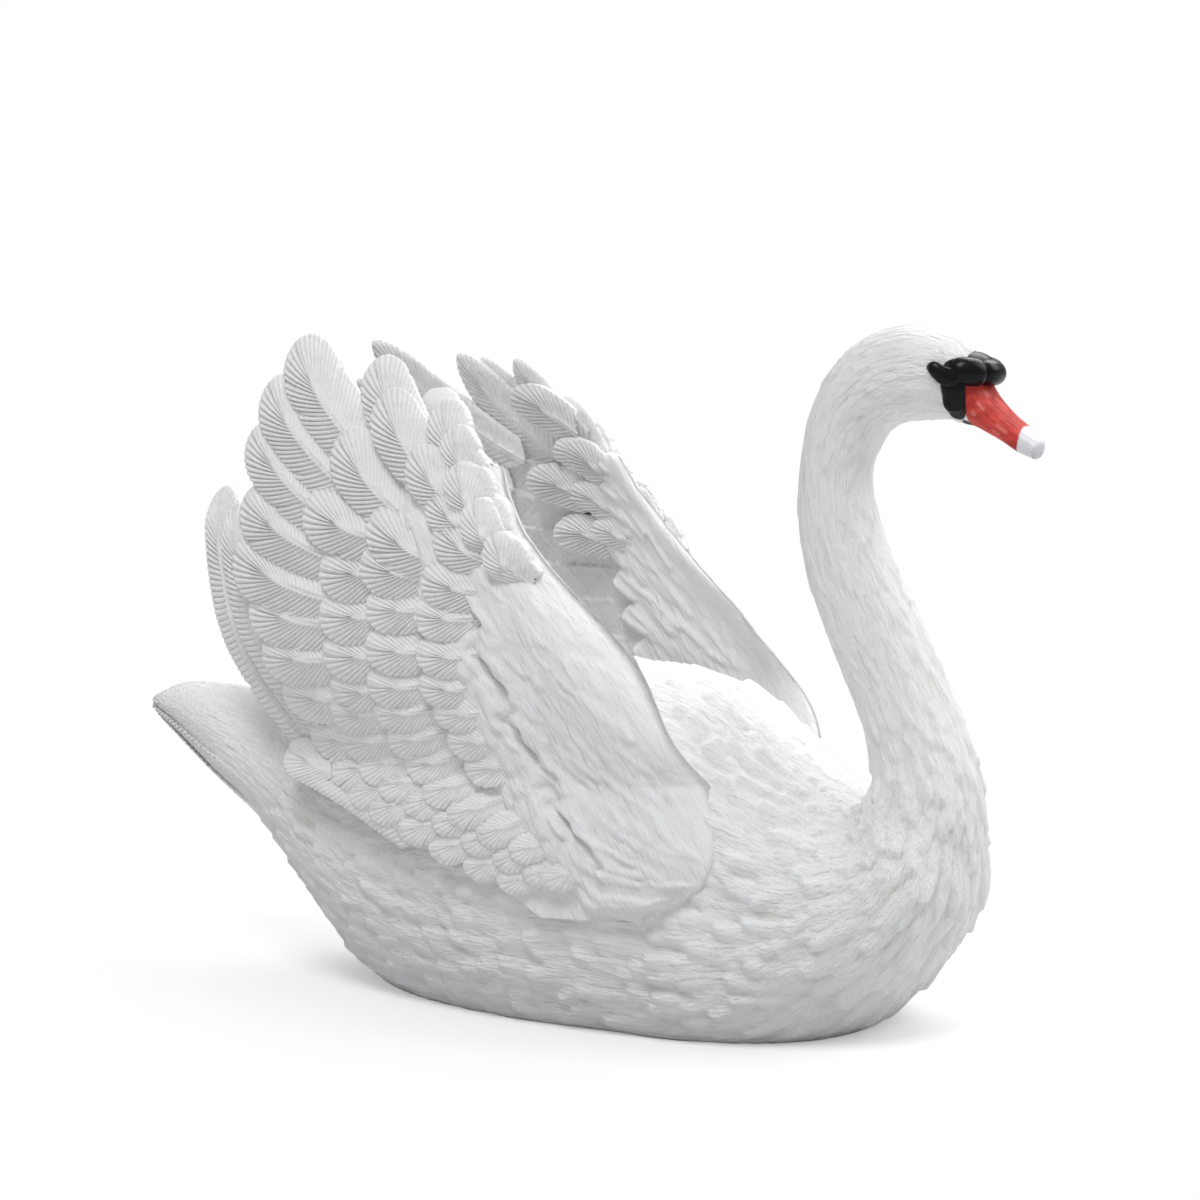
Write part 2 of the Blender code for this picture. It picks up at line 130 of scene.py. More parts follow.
# Tabletop: a wide sheet of matt white card. It keeps the figure's soft shadow; a glow that only the camera
# sees lifts it towards plain white, and outside an oval round the figure it is plain white.
table_steps = np.linspace(-1.6, 1.6, 9)
table_x, table_y = np.meshgrid(table_steps, table_steps, indexing="ij")
table_points = np.stack([table_x, table_y, 0 * table_x - 0.00002], -1).reshape(-1, 3)
table_mesh = bpy.data.meshes.new("tabletop")
table_mesh.from_pydata(
    table_points.tolist(), [],
    [(i * 9 + j, i * 9 + 9 + j, i * 9 + 10 + j, i * 9 + 1 + j) for i in range(8) for j in range(8)],
)
tabletop = bpy.data.objects.new("tabletop", table_mesh)
bpy.context.scene.collection.objects.link(tabletop)
card, tree, card_shader = add_material("white_card", {
    "Base Color": (0.66, 0.66, 0.665, 1.0), "Roughness": 0.9, "Specular IOR Level": 0.0,
    "Emission Color": (1.0, 1.0, 1.0, 1.0),
})
card_seen = add_node(tree, "LightPath")
card_glow = add_node(tree, "Math", {1: 0.335}, operation="MULTIPLY")
card_place = add_node(tree, "TexCoord")
card_oval = add_node(tree, "Mapping", {"Location": (0.0, -0.014, 0.0), "Scale": (1.0, 1.5, 1.0)})
card_away = add_node(tree, "VectorMath", operation="LENGTH")
card_far = add_node(
    tree, "MapRange", {"From Min": 0.036, "From Max": 0.08}, interpolation_type="SMOOTHSTEP"
)
card_far_seen = add_node(tree, "Math", operation="MULTIPLY")
card_white = add_node(tree, "Emission", {"Color": (1.0, 1.0, 1.0, 1.0)})
card_mix = add_node(tree, "MixShader")
connect(
    tree,
    (card_seen.outputs["Is Camera Ray"], card_glow.inputs[0]),
    (card_glow.outputs[0], card_shader.inputs["Emission Strength"]),
    (card_place.outputs["Object"], card_oval.inputs["Vector"]),
    (card_oval.outputs["Vector"], card_away.inputs[0]),
    (card_away.outputs["Value"], card_far.inputs["Value"]),
    (card_far.outputs["Result"], card_far_seen.inputs[0]),
    (card_seen.outputs["Is Camera Ray"], card_far_seen.inputs[1]),
    (card_far_seen.outputs[0], card_mix.inputs[0]),
    (card_shader.outputs[0], card_mix.inputs[1]),
    (card_white.outputs[0], card_mix.inputs[2]),
    (card_mix.outputs[0], tree.nodes["Material Output"].inputs["Surface"]),
)
tabletop.data.materials.append(card)

# Body: one moulding from the tail to the bill, solid matt white plastic with tufts of feathers cut into it.
# It is a loft of squared-off ovals, on which each tuft is a raised drop with its point towards the tail.

# Rows: upper point x z, lower point x z, half width, squareness. Row numbers are used as places below: the
# tail fan ends near 4, the neck's foot is 14, the neck's middle 20, the crown 27 and the bill starts at 31.
body_rows = np.array([
    (-64.9, 28.5, -64.6, 27.8, 2.2, 2), (-63.6, 29.5, -62.8, 26.4, 4.6, 2),
    (-60.0, 30.2, -58.6, 23.4, 6.6, 2), (-54.0, 29.9, -52.8, 18.8, 8.4, 2),
    (-47.0, 28.6, -46.4, 14.0, 9.6, 2), (-40.5, 28.4, -40.4, 7.6, 11.6, 2.1),
    (-32.0, 30.4, -33.0, 0.2, 14.0, 2.3), (-22.0, 33.4, -23.0, -3.4, 16.8, 2.6),
    (-10.0, 35.6, -11.0, -5.0, 18.8, 2.8), (0.0, 35.4, 1.0, -5.2, 19.2, 2.8),
    (7.0, 33.8, 10.5, -4.6, 18.7, 3.0), (13.0, 29.6, 18.8, -3.2, 17.4, 2.5),
    (18.2, 25.6, 25.2, 0.6, 15.8, 2.1), (22.0, 23.2, 31.0, 6.6, 13.6, 2),
    (23.7, 23.2, 34.7, 13.4, 11.2, 2.1), (24.4, 24.6, 35.3, 20.3, 8.2, 2),
    (24.4, 27.0, 35.1, 25.2, 6.6, 2), (23.6, 30.0, 33.9, 29.6, 5.7, 2),
    (21.6, 34.8, 31.2, 36.2, 5.2, 2), (18.9, 40.2, 28.2, 42.6, 4.9, 2),
    (16.7, 46.0, 25.3, 48.4, 4.5, 2), (15.6, 51.4, 23.8, 52.8, 4.1, 2),
    (15.6, 56.6, 23.3, 56.2, 3.9, 2), (16.2, 60.6, 24.0, 58.9, 4.0, 2),
    (17.3, 64.2, 25.5, 61.0, 4.2, 2), (19.4, 67.6, 27.3, 61.8, 4.6, 2),
    (22.4, 70.2, 28.8, 61.9, 5.0, 2), (25.8, 71.6, 30.2, 62.0, 5.2, 2),
    (29.2, 71.9, 31.5, 62.0, 5.0, 2), (32.2, 70.9, 32.7, 61.9, 4.4, 2),
    (34.2, 69.0, 33.6, 61.7, 3.8, 2), (35.2, 66.9, 34.6, 61.5, 3.3, 2),
    (36.3, 64.9, 35.9, 60.9, 3.0, 2.1), (38.0, 63.0, 37.5, 60.1, 2.7, 2.3),
    (40.1, 61.3, 39.3, 59.0, 2.5, 2.4), (41.2, 60.3, 40.7, 58.4, 1.9, 2.2),
])
neck_foot_row = 14.0


def ease(low, high, value):
    """Smooth step: 0 below low, 1 above high, cubic between."""
    t = np.clip((np.asarray(value, float) - low) / (high - low), 0.0, 1.0)
    return t * t * (3.0 - 2.0 * t)


def through(rows, at):
    """Smooth curve through a table's rows at fractional row numbers (Catmull-Rom)."""
    padded = np.vstack([2 * rows[0] - rows[1], rows, 2 * rows[-1] - rows[-2]])
    i = np.clip(np.floor(at).astype(int), 0, len(rows) - 2)
    f = (at - i)[:, None]
    a, b, c, d = padded[i], padded[i + 1], padded[i + 2], padded[i + 3]
    return 0.5 * (2 * b + (c - a) * f + (2 * a - 5 * b + 4 * c - d) * f**2 + (3 * b - a - 3 * c + d) * f**3)


def body_form(row, turn):
    """Squared-off oval at each row, from turn 0 at its upper point round to pi at its lower point.

    Only the lower half is fully squared off. The tail's sides are cut back in three steps, one per feather.
    """
    first_step, step_width, step_deep = 1.2, 0.42, 0.9
    s = through(body_rows, row)
    upper, lower, half = s[:, 0:2], s[:, 2:4], np.maximum(s[:, 4], 0.2)[:, None]
    c, d = np.cos(np.atleast_2d(turn)), np.sin(np.atleast_2d(turn))
    square = np.where(c > 0, 2 + 0.45 * (s[:, 5][:, None] - 2), s[:, 5][:, None])
    along = np.sign(c) * np.abs(c) ** (2 / square)
    across = np.sign(d) * np.abs(d) ** (2 / square)
    step = (np.abs(np.arctan2(d, c)) - first_step) / step_width
    in_fan = (step > 0) & (step < 3)
    fade = (1 - ease(2.0, 4.4, row))[:, None]
    notch = np.where(in_fan, step - np.floor(step), 0.0) * fade * step_deep
    middle, reach = (upper + lower) / 2, (upper - lower) / 2
    x = middle[:, 0:1] + reach[:, 0:1] * along
    z = middle[:, 1:2] + reach[:, 1:2] * along
    y = half * across - np.sign(across) * np.minimum(notch, 0.6 * half * np.abs(across))
    return np.stack([x, y, np.maximum(z, 0.0)], -1)


def outward(surface):
    """Unit normals of a grid that is closed round its second axis, pointing away from each ring's middle."""
    over = np.roll(surface, -1, 1) - np.roll(surface, 1, 1)
    on = np.gradient(surface, axis=0)
    n = np.cross(over, on)
    n /= np.linalg.norm(n, axis=-1, keepdims=True) + 1e-9
    n *= np.sign(((surface - surface.mean(1, keepdims=True)) * n).sum())
    return n


def drops(surface, normal, seeds, long, wide, high, sway):
    """Raised tufts: each is highest near its tip, which points to lower rows, and falls away steeply there.

    The height field is the highest tuft at each point. A point's place in a tuft is measured along the
    surface's own run at the tuft's seed, turned by a small random angle, and across it.
    """
    rings, sides = surface.shape[:2]
    field = np.zeros((rings, sides))
    run = np.gradient(surface, axis=0)
    run /= np.linalg.norm(run, axis=-1, keepdims=True) + 1e-9
    for (i, j), length, width, height, angle in zip(seeds, long, wide, high, sway):
        spacing = np.linalg.norm(surface[min(i + 1, rings - 1), j] - surface[max(i - 1, 0), j]) / 2 + 1e-6
        round_gap = np.linalg.norm(surface[i, (j + 1) % sides] - surface[i, j - 1]) / 2 + 1e-6
        span_i = int(1.2 * length / spacing) + 2
        span_j = min(int(1.2 * max(width, 0.5 * length) / round_gap) + 2, sides // 3)
        rows = np.arange(max(i - span_i, 0), min(i + span_i + 1, rings))
        cols = np.arange(j - span_j, j + span_j + 1) % sides
        local = surface[np.ix_(rows, cols)] - surface[i, j]
        back = -run[i, j]
        side = np.cross(normal[i, j], back)
        axis = back * np.cos(angle) + side * np.sin(angle)
        cross = np.cross(normal[i, j], axis)
        a = local @ axis / length
        b = local @ cross / width
        depth = local @ normal[i, j]
        flank = 1 - (b / np.sqrt(np.clip(1 - np.clip(a, -1, 1) ** 2 * 0.75, 0.05, 1))) ** 2
        lift = height * (0.1 + 0.9 * np.clip((a + 1) / 2, 0, 1) ** 1.3) * np.clip(flank, 0, 1) ** 0.85
        lift *= ease(-1.0, -0.55, a) * (1 - ease(0.72, 1.0, a)) * (np.abs(depth) < length)
        block = field[np.ix_(rows, cols)]
        field[np.ix_(rows, cols)] = np.maximum(block, lift)
    return field


def write_piece(name, grids, material, normals=None):
    """One object from grids of points in millimetres, each joined from its last column to its first.

    Each grid is (points, attributes), and an attribute has one value or three for each point.
    """
    points, faces, values = [], [], {}
    start = 0
    for surface, extra in grids:
        n, m = surface.shape[:2]
        points.append(surface.reshape(-1, 3))
        i, j = np.meshgrid(np.arange(n - 1), np.arange(m), indexing="ij")
        k = (j + 1) % m
        quads = np.stack([i * m + j, i * m + k, (i + 1) * m + k, (i + 1) * m + j], -1).reshape(-1, 4) + start
        faces.append(quads)
        for key, value in extra.items():
            values.setdefault(key, []).append(np.asarray(value, np.float32).reshape(n * m, -1))
        start += n * m
    points = np.concatenate(points) * 0.001
    faces = np.concatenate(faces)
    mesh = bpy.data.meshes.new(name)
    mesh.vertices.add(len(points))
    mesh.vertices.foreach_set("co", points.astype(np.float32).ravel())
    mesh.loops.add(faces.size)
    mesh.loops.foreach_set("vertex_index", faces.astype(np.int32).ravel())
    mesh.polygons.add(len(faces))
    mesh.polygons.foreach_set("loop_start", np.arange(0, faces.size, 4, dtype=np.int32))
    for key, value in values.items():
        value = np.concatenate(value)
        kind = "FLOAT_VECTOR" if value.shape[1] == 3 else "FLOAT"
        layer = mesh.attributes.new(key, kind, "POINT")
        layer.data.foreach_set("vector" if kind == "FLOAT_VECTOR" else "value", value.ravel())
    mesh.materials.append(material)
    mesh.update(calc_edges=True)
    mesh.shade_smooth()
    if normals is not None:
        mesh.normals_split_custom_set_from_vertices(normals.reshape(-1, 3).tolist())
    piece = bpy.data.objects.new(name, mesh)
    bpy.context.scene.collection.objects.link(piece)
    return piece


# rings spaced evenly along the mean line, closer together on the tail and the head
probe = np.linspace(0, len(body_rows) - 1, 3501)
probe_form = body_form(probe, np.array([0.0, np.pi / 2, np.pi, -np.pi / 2]))
probe_step = np.linalg.norm(np.diff(probe_form, axis=0), axis=-1).mean(1)
weight_rows, ring_weight = (0, 4.2, 5, 13, 16, 24, 27, 35), (1.5, 1.4, 1.0, 1.0, 0.85, 0.85, 1.2, 1.3)
probe_weight = np.interp(probe[1:], weight_rows, ring_weight)
probe_run = np.concatenate([[0], np.cumsum(probe_step * probe_weight)])
body_rings, body_sides = 590, 240
body_row = np.interp(np.linspace(0, probe_run[-1], body_rings), probe_run, probe)
fine_turn = np.linspace(0, 2 * np.pi, 1441)
fine_ring = np.linalg.norm(np.diff(body_form(body_row, fine_turn), axis=1), axis=-1)
fine_ring = np.concatenate([np.zeros((body_rings, 1)), np.cumsum(fine_ring, 1)], 1)
even = np.arange(body_sides) / body_sides
turn_grid = np.stack([np.interp(even * ring[-1], ring, fine_turn) for ring in fine_ring])
body_skin = body_form(body_row, turn_grid)
body_normal = outward(body_skin)
body_run = np.concatenate([[0], np.cumsum(np.linalg.norm(np.diff(body_skin, axis=0), axis=-1).mean(1))])
row_grid = np.repeat(body_row[:, None], body_sides, 1)
run_grid = np.repeat(body_run[:, None], body_sides, 1)
ring_size = np.linalg.norm(np.roll(body_skin, -1, 1) - body_skin, axis=-1).sum(1)

# tufts on back, flanks, chest, neck and cheeks, on a loose brick pattern; the tables give, by body row, the
# distance between courses, a tuft's breadth, its length as a share of that distance, and its height
spread_rows = (3.5, 6, 12, 15, 18, 24, 26, 30)
tuft_pitch = (2.6, 2.8, 2.6, 2.3, 2.3, 1.8, 1.15, 1.0)
tuft_breadth = (1.9, 1.9, 1.9, 1.7, 1.4, 1.25, 1.1, 1.0)
stretch_rows, tuft_stretch = (4, 8, 15, 18, 24, 27, 30), (1.2, 1.25, 1.35, 1.9, 1.9, 1.0, 0.8)
height_rows = (3.4, 5.5, 11, 15, 18, 23, 26, 29.4)
tuft_height = (0.2, 0.62, 0.95, 0.95, 0.5, 0.22, 0.28, 0.12)
# tuft height below which the hollows take painted shade
shade_fade_height = (0.1, 0.2, 0.25, 0.22, 0.12, 0.07, 0.08, 0.05)
tuft_rng = np.random.default_rng(7)
tuft_seeds, tuft_long, tuft_wide, tuft_high, tuft_sway = [], [], [], [], []
tuft_run = 0.0
tuft_course = 0
while tuft_run < body_run[-1]:
    row_here = float(np.interp(tuft_run, body_run, body_row))
    pitch = float(np.interp(row_here, spread_rows, tuft_pitch))
    breadth = float(np.interp(row_here, spread_rows, tuft_breadth))
    stretch = float(np.interp(row_here, stretch_rows, tuft_stretch))
    tall = float(np.interp(row_here, height_rows, tuft_height))
    around = max(int(np.interp(tuft_run, body_run, ring_size) / breadth), 8)
    i = int(np.argmin(np.abs(body_run - tuft_run)))
    for k in range(around):
        jitter = tuft_rng.uniform(-0.35, 0.35, 2)
        j = int(((k + 0.5 * (tuft_course % 2) + jitter[0]) / around) * body_sides) % body_sides
        size = tuft_rng.uniform(0.75, 1.25)
        tuft_seeds.append((min(max(i + int(jitter[1] * 6), 0), body_rings - 1), j))
        tuft_long.append(pitch * stretch * size)
        tuft_wide.append(breadth * 0.62 * tuft_rng.uniform(0.7, 1.2))
        tuft_high.append(tall * tuft_rng.uniform(0.35, 1.15))
        tuft_sway.append(tuft_rng.normal(0, 0.2))
    tuft_run += pitch
    tuft_course += 1
tuft_field = drops(body_skin, body_normal, tuft_seeds, tuft_long, tuft_wide, tuft_high, tuft_sway)

# the smooth crown, the bill and the underside carry no tufts
height_share = np.clip(body_skin[..., 2] / 1.6, 0, 1)
crown_smooth = ease(25.5, 27.5, row_grid) * ease(-0.2, 0.55, np.cos(turn_grid))
bare_bill = 1 - ease(28.2, 29.4, row_grid)
tuft_field *= height_share * bare_bill * (1 - 0.8 * crown_smooth) * ease(2.6, 4.6, row_grid)

# tail: barbs that run out from the middle line towards the edge and back
barb_pitch, barb_deep, shaft_high, shaft_half = 0.78, 0.16, 0.3, 0.35
on_tail = 1 - ease(2.4, 4.4, row_grid)
tail_out = np.abs(body_skin[..., 1])
tail_phase = (run_grid * 0.8 + tail_out * 0.95) / barb_pitch
tail_barbs = barb_deep * np.cos(2 * np.pi * tail_phase) * on_tail * ease(0.3, 1.2, tail_out)
tail_shaft = shaft_high * np.exp(-((body_skin[..., 1] / shaft_half) ** 2)) * on_tail * (np.cos(turn_grid) > 0)

# between its tufts the skin lies a little deeper than the smooth form
tuft_bed = 0.22 * ease(3.0, 5.0, row_grid) * height_share * (row_grid < 29)
body_relief = tuft_field + tail_barbs + tail_shaft - tuft_bed
body_points = body_skin + body_normal * body_relief[..., None]
body_points[..., 2] = np.maximum(body_points[..., 2], 0.0)

# paint limits, as signed distances in millimetres on the side view of the head; strokes of paint are
# (start x z, end x z, radius)
face_x, face_z = body_skin[..., 0], body_skin[..., 2]
unpainted = -9.0
from_face = face_x - 34.4 - 2.0 * np.maximum(face_z - 66.3, 0)
past_nail = (face_x - 39.66) * 0.96 + 0.35 * np.minimum((face_z - 60.9) ** 2 / 2.56, 1.6) - 0.1
mask_spots = (
    ((31.6, 67.4), (33.4, 66.0), 0.6), ((33.6, 67.0), (35.4, 66.9), 1.25), ((33.4, 66.0), (33.5, 64.4), 1.12),
    ((33.5, 64.4), (33.45, 63.3), 1.1), ((33.9, 61.9), (34.2, 61.8), 0.3),
)
# paler streaks and spots on the bill: painted highlights where small bumps on the bill catch the light
bill_highlight_spots = (
    ((35.9, 65.0), (36.3, 64.5), 0.09), ((35.7, 63.9), (36.2, 63.3), 0.17),
    ((35.2, 62.9), (35.3, 62.8), 0.24), ((37.6, 61.8), (38.5, 61.1), 0.16),
    ((37.1, 61.2), (37.7, 60.9), 0.13),
)


def from_stroke(a, b, x, z):
    """Side-view distance from points to the straight stroke from a to b."""
    ab = np.subtract(b, a)
    t = np.clip(((x - a[0]) * ab[0] + (z - a[1]) * ab[1]) / (ab @ ab), 0, 1)
    return np.hypot(x - a[0] - t * ab[0], z - a[1] - t * ab[1])


def spots_distance(spots):
    """Signed side-view distance to the edge of a set of round-ended strokes, positive inside."""
    inside = np.full(face_x.shape, unpainted)
    for a, b, radius in spots:
        inside = np.maximum(inside, radius - from_stroke(a, b, face_x, face_z))
    return inside


paint_red = np.where(row_grid > 27.5, from_face, unpainted)
paint_black = np.where(row_grid > 25.5, spots_distance(mask_spots), unpainted)
paint_bill_highlight = np.where(row_grid > 28.0, spots_distance(bill_highlight_spots), unpainted)
paint_nail = np.where(row_grid > 30.0, past_nail, unpainted)

# coordinates that follow the feathers: along the body, and round it
ring_radius = ring_size[:, None] / 6.28
flow = np.stack([run_grid * 0.16, body_skin[..., 1], np.cos(turn_grid) * ring_radius], -1)
# how deep between the tufts each point lies, from 0 on a tuft to 1 in a hollow; the shader paints shade
# there, darker and warmer in the hollows
tuft_scale = np.interp(row_grid, height_rows, shade_fade_height)
body_painted_shade = np.clip(1 - tuft_field / tuft_scale, 0, 1) * ease(3.4, 5.0, row_grid)
body_painted_shade *= 1 - ease(25.5, 28.5, row_grid)


def white_plastic(name, flow_bump, stroke, shade_colour):
    """Matt white plastic: strokes along the flow, a fine moulded grain, and faint warm painted shade in the
    hollows, in patches.
    """
    material, tree, shader = add_material(name, {
        "Roughness": 0.58, "Specular IOR Level": 0.32, "Subsurface Weight": 0.12,
        "Subsurface Radius": (0.9, 0.85, 0.8), "Subsurface Scale": 0.0012,
    })
    place = add_node(tree, "TexCoord")
    painted_shade = add_node(tree, "Attribute", attribute_name="painted_shade")
    along = add_node(tree, "Attribute", attribute_name="flow")
    shade_patches = add_node(tree, "TexNoise", {"Scale": 55.0, "Detail": 2.0})
    strokes = add_node(tree, "TexNoise", {"Scale": stroke, "Detail": 3.0, "Roughness": 0.6})
    grain = add_node(tree, "TexNoise", {"Scale": 2600.0, "Detail": 2.0})
    # painted shade: the depth of each hollow times a patchy noise mixes the white towards the warm shade
    # colour
    share = add_node(tree, "Math", operation="MULTIPLY")
    tint = add_node(tree, "Mix", {"A": (0.86, 0.86, 0.86, 1.0), "B": shade_colour}, data_type="RGBA")
    stroke_bump = add_node(tree, "Bump", {"Strength": 1.0, "Distance": flow_bump})
    grain_bump = add_node(tree, "Bump", {"Strength": 0.35, "Distance": 0.00004})
    connect(
        tree,
        (place.outputs["Object"], shade_patches.inputs["Vector"]),
        (place.outputs["Object"], grain.inputs["Vector"]),
        (along.outputs["Vector"], strokes.inputs["Vector"]),
        (painted_shade.outputs["Fac"], share.inputs[0]),
        (shade_patches.outputs["Fac"], share.inputs[1]),
        (share.outputs[0], tint.inputs["Factor"]),
        (tint.outputs["Result"], shader.inputs["Base Color"]),
        (strokes.outputs["Fac"], stroke_bump.inputs["Height"]),
        (grain.outputs["Fac"], grain_bump.inputs["Height"]),
        (stroke_bump.outputs["Normal"], grain_bump.inputs["Normal"]),
        (grain_bump.outputs["Normal"], shader.inputs["Normal"]),
    )
    return material, shader, tint


body_white, body_shader, body_tint = white_plastic(
    "tufted_white_plastic", 0.00055, 1.9, (0.70, 0.66, 0.61, 1.0)
)

# red of the bill: streaks that run down the bill's own slope, partly the red's own uneven tone and partly
# painted highlight along its ridges
tree = body_white.node_tree
bill_slope = np.radians(-47)
streak_from = add_node(tree, "TexCoord")
streak_place = add_node(
    tree, "Mapping", {"Rotation": (0.0, bill_slope, 0.0), "Scale": (220.0, 900.0, 900.0)}
)
streak = add_node(tree, "TexNoise", {"Scale": 1.0, "Detail": 3.0})
bill_red = add_node(tree, "ValToRGB")
dark_red, highlight_red = bill_red.color_ramp.elements
dark_red.position, dark_red.color = 0.38, (0.50, 0.028, 0.02, 1.0)
highlight_red.position, highlight_red.color = 0.68, (0.80, 0.09, 0.065, 1.0)
connect(
    tree,
    (streak_from.outputs["Object"], streak_place.inputs["Vector"]),
    (streak_place.outputs["Vector"], streak.inputs["Vector"]),
    (streak.outputs["Fac"], bill_red.inputs["Fac"]),
)

# paint on the same moulding, one coat over another: the red bill, its paler spots of painted highlight, its
# white nail and the black of the mask; each signed distance becomes an edge a little softer than a line
colour = body_tint.outputs["Result"]
for name, soft, paint in (
    ("paint_red", 0.06, bill_red.outputs["Color"]), ("paint_bill_highlight", 0.12, (0.82, 0.19, 0.16, 1.0)),
    ("paint_nail", 0.07, (0.84, 0.84, 0.88, 1.0)), ("paint_black", 0.06, (0.008, 0.008, 0.009, 1.0)),
):
    edge = add_node(tree, "Attribute", attribute_name=name)
    cut = add_node(tree, "MapRange", {"From Min": -soft, "From Max": soft})
    coat = add_node(tree, "Mix", data_type="RGBA")
    connect(
        tree,
        (edge.outputs["Fac"], cut.inputs["Value"]),
        (cut.outputs["Result"], coat.inputs["Factor"]),
        (colour, coat.inputs["A"]),
    )
    if isinstance(paint, tuple):
        coat.inputs["B"].default_value = paint
    else:
        connect(tree, (paint, coat.inputs["B"]))
    colour = coat.outputs["Result"]
connect(tree, (colour, body_shader.inputs["Base Color"]))


def closed_ends(values, bulge_first=(0, 0, 0), bulge_last=(0, 0, 0)):
    """Closes a tube of rings: at each end one ring drawn in and bulged, then one that is a single point."""
    drawn_in = 0.6
    first, last = values[:1].mean(1, keepdims=True), values[-1:].mean(1, keepdims=True)
    return np.concatenate([
        np.repeat(first, values.shape[1], 1),
        first + (values[:1] - first) * drawn_in + np.array(bulge_first),
        values,
        last + (values[-1:] - last) * drawn_in + np.array(bulge_last),
        np.repeat(last, values.shape[1], 1),
    ])


# the one skin is written as two pieces that meet ring on ring at the foot of the neck, with shared normals
skin_normal = outward(body_points)
skin_values = {
    "flow": flow, "painted_shade": body_painted_shade, "paint_red": paint_red, "paint_nail": paint_nail,
    "paint_black": paint_black, "paint_bill_highlight": paint_bill_highlight,
}
neck_ring = int(np.argmin(np.abs(body_row - neck_foot_row)))
for name, first, last, bulges in (
    ("swan_trunk", 0, neck_ring, ((-0.12, 0, 0), (0, 0, 0))),
    ("swan_neck_and_head", neck_ring, body_rings - 1, ((0, 0, 0), (0.1, 0, -0.08))),
):
    part = slice(first, last + 1)
    values = {key: whole[part] for key, whole in skin_values.items()}
    values = {key: np.concatenate([v[:1], v[:1], v, v[-1:], v[-1:]])[:, ::-1] for key, v in values.items()}
    points = closed_ends(body_points[part], *bulges)
    # at the ends the normals turn to face along the body's run
    normals = skin_normal[part]
    middle = body_points[part].mean(1)
    first_way, last_way = middle[0] - middle[3], middle[-1] - middle[-4]
    first_way, last_way = first_way / np.linalg.norm(first_way), last_way / np.linalg.norm(last_way)
    normals = np.concatenate([
        0 * normals[:1] + first_way, 0.5 * normals[:1] + first_way, normals,
        0.5 * normals[-1:] + last_way, 0 * normals[-1:] + last_way,
    ])
    normals /= np.linalg.norm(normals, axis=-1, keepdims=True)
    piece = write_piece(name, [(points[:, ::-1], values)], body_white, normals[:, ::-1])
    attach(piece, "root")
    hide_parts("body")

# Face mask: raised parts of the face in gloss black paint, a knob over the bill, a lobe back to each eye and
# a band down each cheek. Each is a round profile carried along a path, swelling and shrinking.
gloss_black, tree, black_shader = add_material("gloss_black_paint", {
    "Base Color": (0.006, 0.006, 0.007, 1.0), "Roughness": 0.27, "Specular IOR Level": 0.17,
})
black_place = add_node(tree, "TexCoord")
black_wave = add_node(tree, "TexNoise", {"Scale": 520.0, "Detail": 1.5})
black_bump = add_node(tree, "Bump", {"Strength": 0.6, "Distance": 0.00035})
connect(
    tree,
    (black_place.outputs["Object"], black_wave.inputs["Vector"]),
    (black_wave.outputs["Fac"], black_bump.inputs["Height"]),
    (black_bump.outputs["Normal"], black_shader.inputs["Normal"]),
)


def bead(path, radii, flat, up, rings=40, sides=24):
    """Oval profile carried along a smooth path, which closes to a point at both ends.

    radii are the half breadths on the way, flat is the profile's depth as a share of its breadth, and up says
    which way the depth is measured.
    """
    path = np.array(path, float)
    at = np.linspace(0, len(path) - 1, rings)
    line = through(path, at)
    size = through(np.array(radii, float)[:, None], at)[:, 0]
    t = np.linspace(-1, 1, rings)
    size = np.maximum(size, 0) * (1 - np.abs(t) ** 5) ** 0.5
    run = np.gradient(line, axis=0)
    run /= np.linalg.norm(run, axis=1, keepdims=True)
    up = np.array(up, float)[None, :] - run * (run @ np.array(up, float))[:, None]
    up /= np.linalg.norm(up, axis=1, keepdims=True)
    side = np.cross(run, up)
    a = np.linspace(0, 2 * np.pi, sides, endpoint=False)[None, :, None]
    return line[:, None] + size[:, None, None] * (np.cos(a) * side[:, None] + flat * np.sin(a) * up[:, None])


knob_path = [(32.9, 0, 67.9), (34.2, 0, 67.5), (35.3, 0, 67.1), (36.2, 0, 66.7)]
front_path = [(35.1, -2.0, 66.5), (35.8, -0.9, 66.8), (35.8, 0.9, 66.8), (35.1, 2.0, 66.5)]
mask_beads = [
    bead(knob_path, [2.2, 2.6, 2.4, 1.6], 0.55, (0.4, 0, 1)),
    bead(front_path, [1.2, 1.35, 1.35, 1.2], 0.95, (0.5, 0, 1)),
]
# eye lobe, side of the knob and cheek band, as they lie on the swan's left
side_beads = (
    ([(31.3, 4.55, 67.8), (32.0, 4.6, 67.1), (32.9, 4.3, 66.5), (34.2, 3.6, 66.3)],
     [0.62, 0.75, 0.95, 1.1], 0.75, 0.25),
    ([(32.9, 3.4, 66.9), (34.0, 3.2, 67.0), (35.1, 2.5, 66.9), (36.0, 1.6, 66.7)],
     [1.25, 1.45, 1.45, 1.3], 0.85, 0.5),
    ([(33.8, 3.6, 66.6), (33.5, 3.8, 65.3), (33.4, 3.55, 64.1), (33.4, 3.05, 62.9)],
     [1.25, 1.2, 1.15, 1.05], 0.35, -0.1),
)
for side in (-1, 1):
    for path, radii, flat, lean in side_beads:
        mask_beads.append(bead(np.array(path) * (1, side, 1), radii, flat, (0, side, lean)))
mask_piece = write_piece("face_mask", [(grid, {}) for grid in mask_beads], gloss_black)
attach(mask_piece, "root")

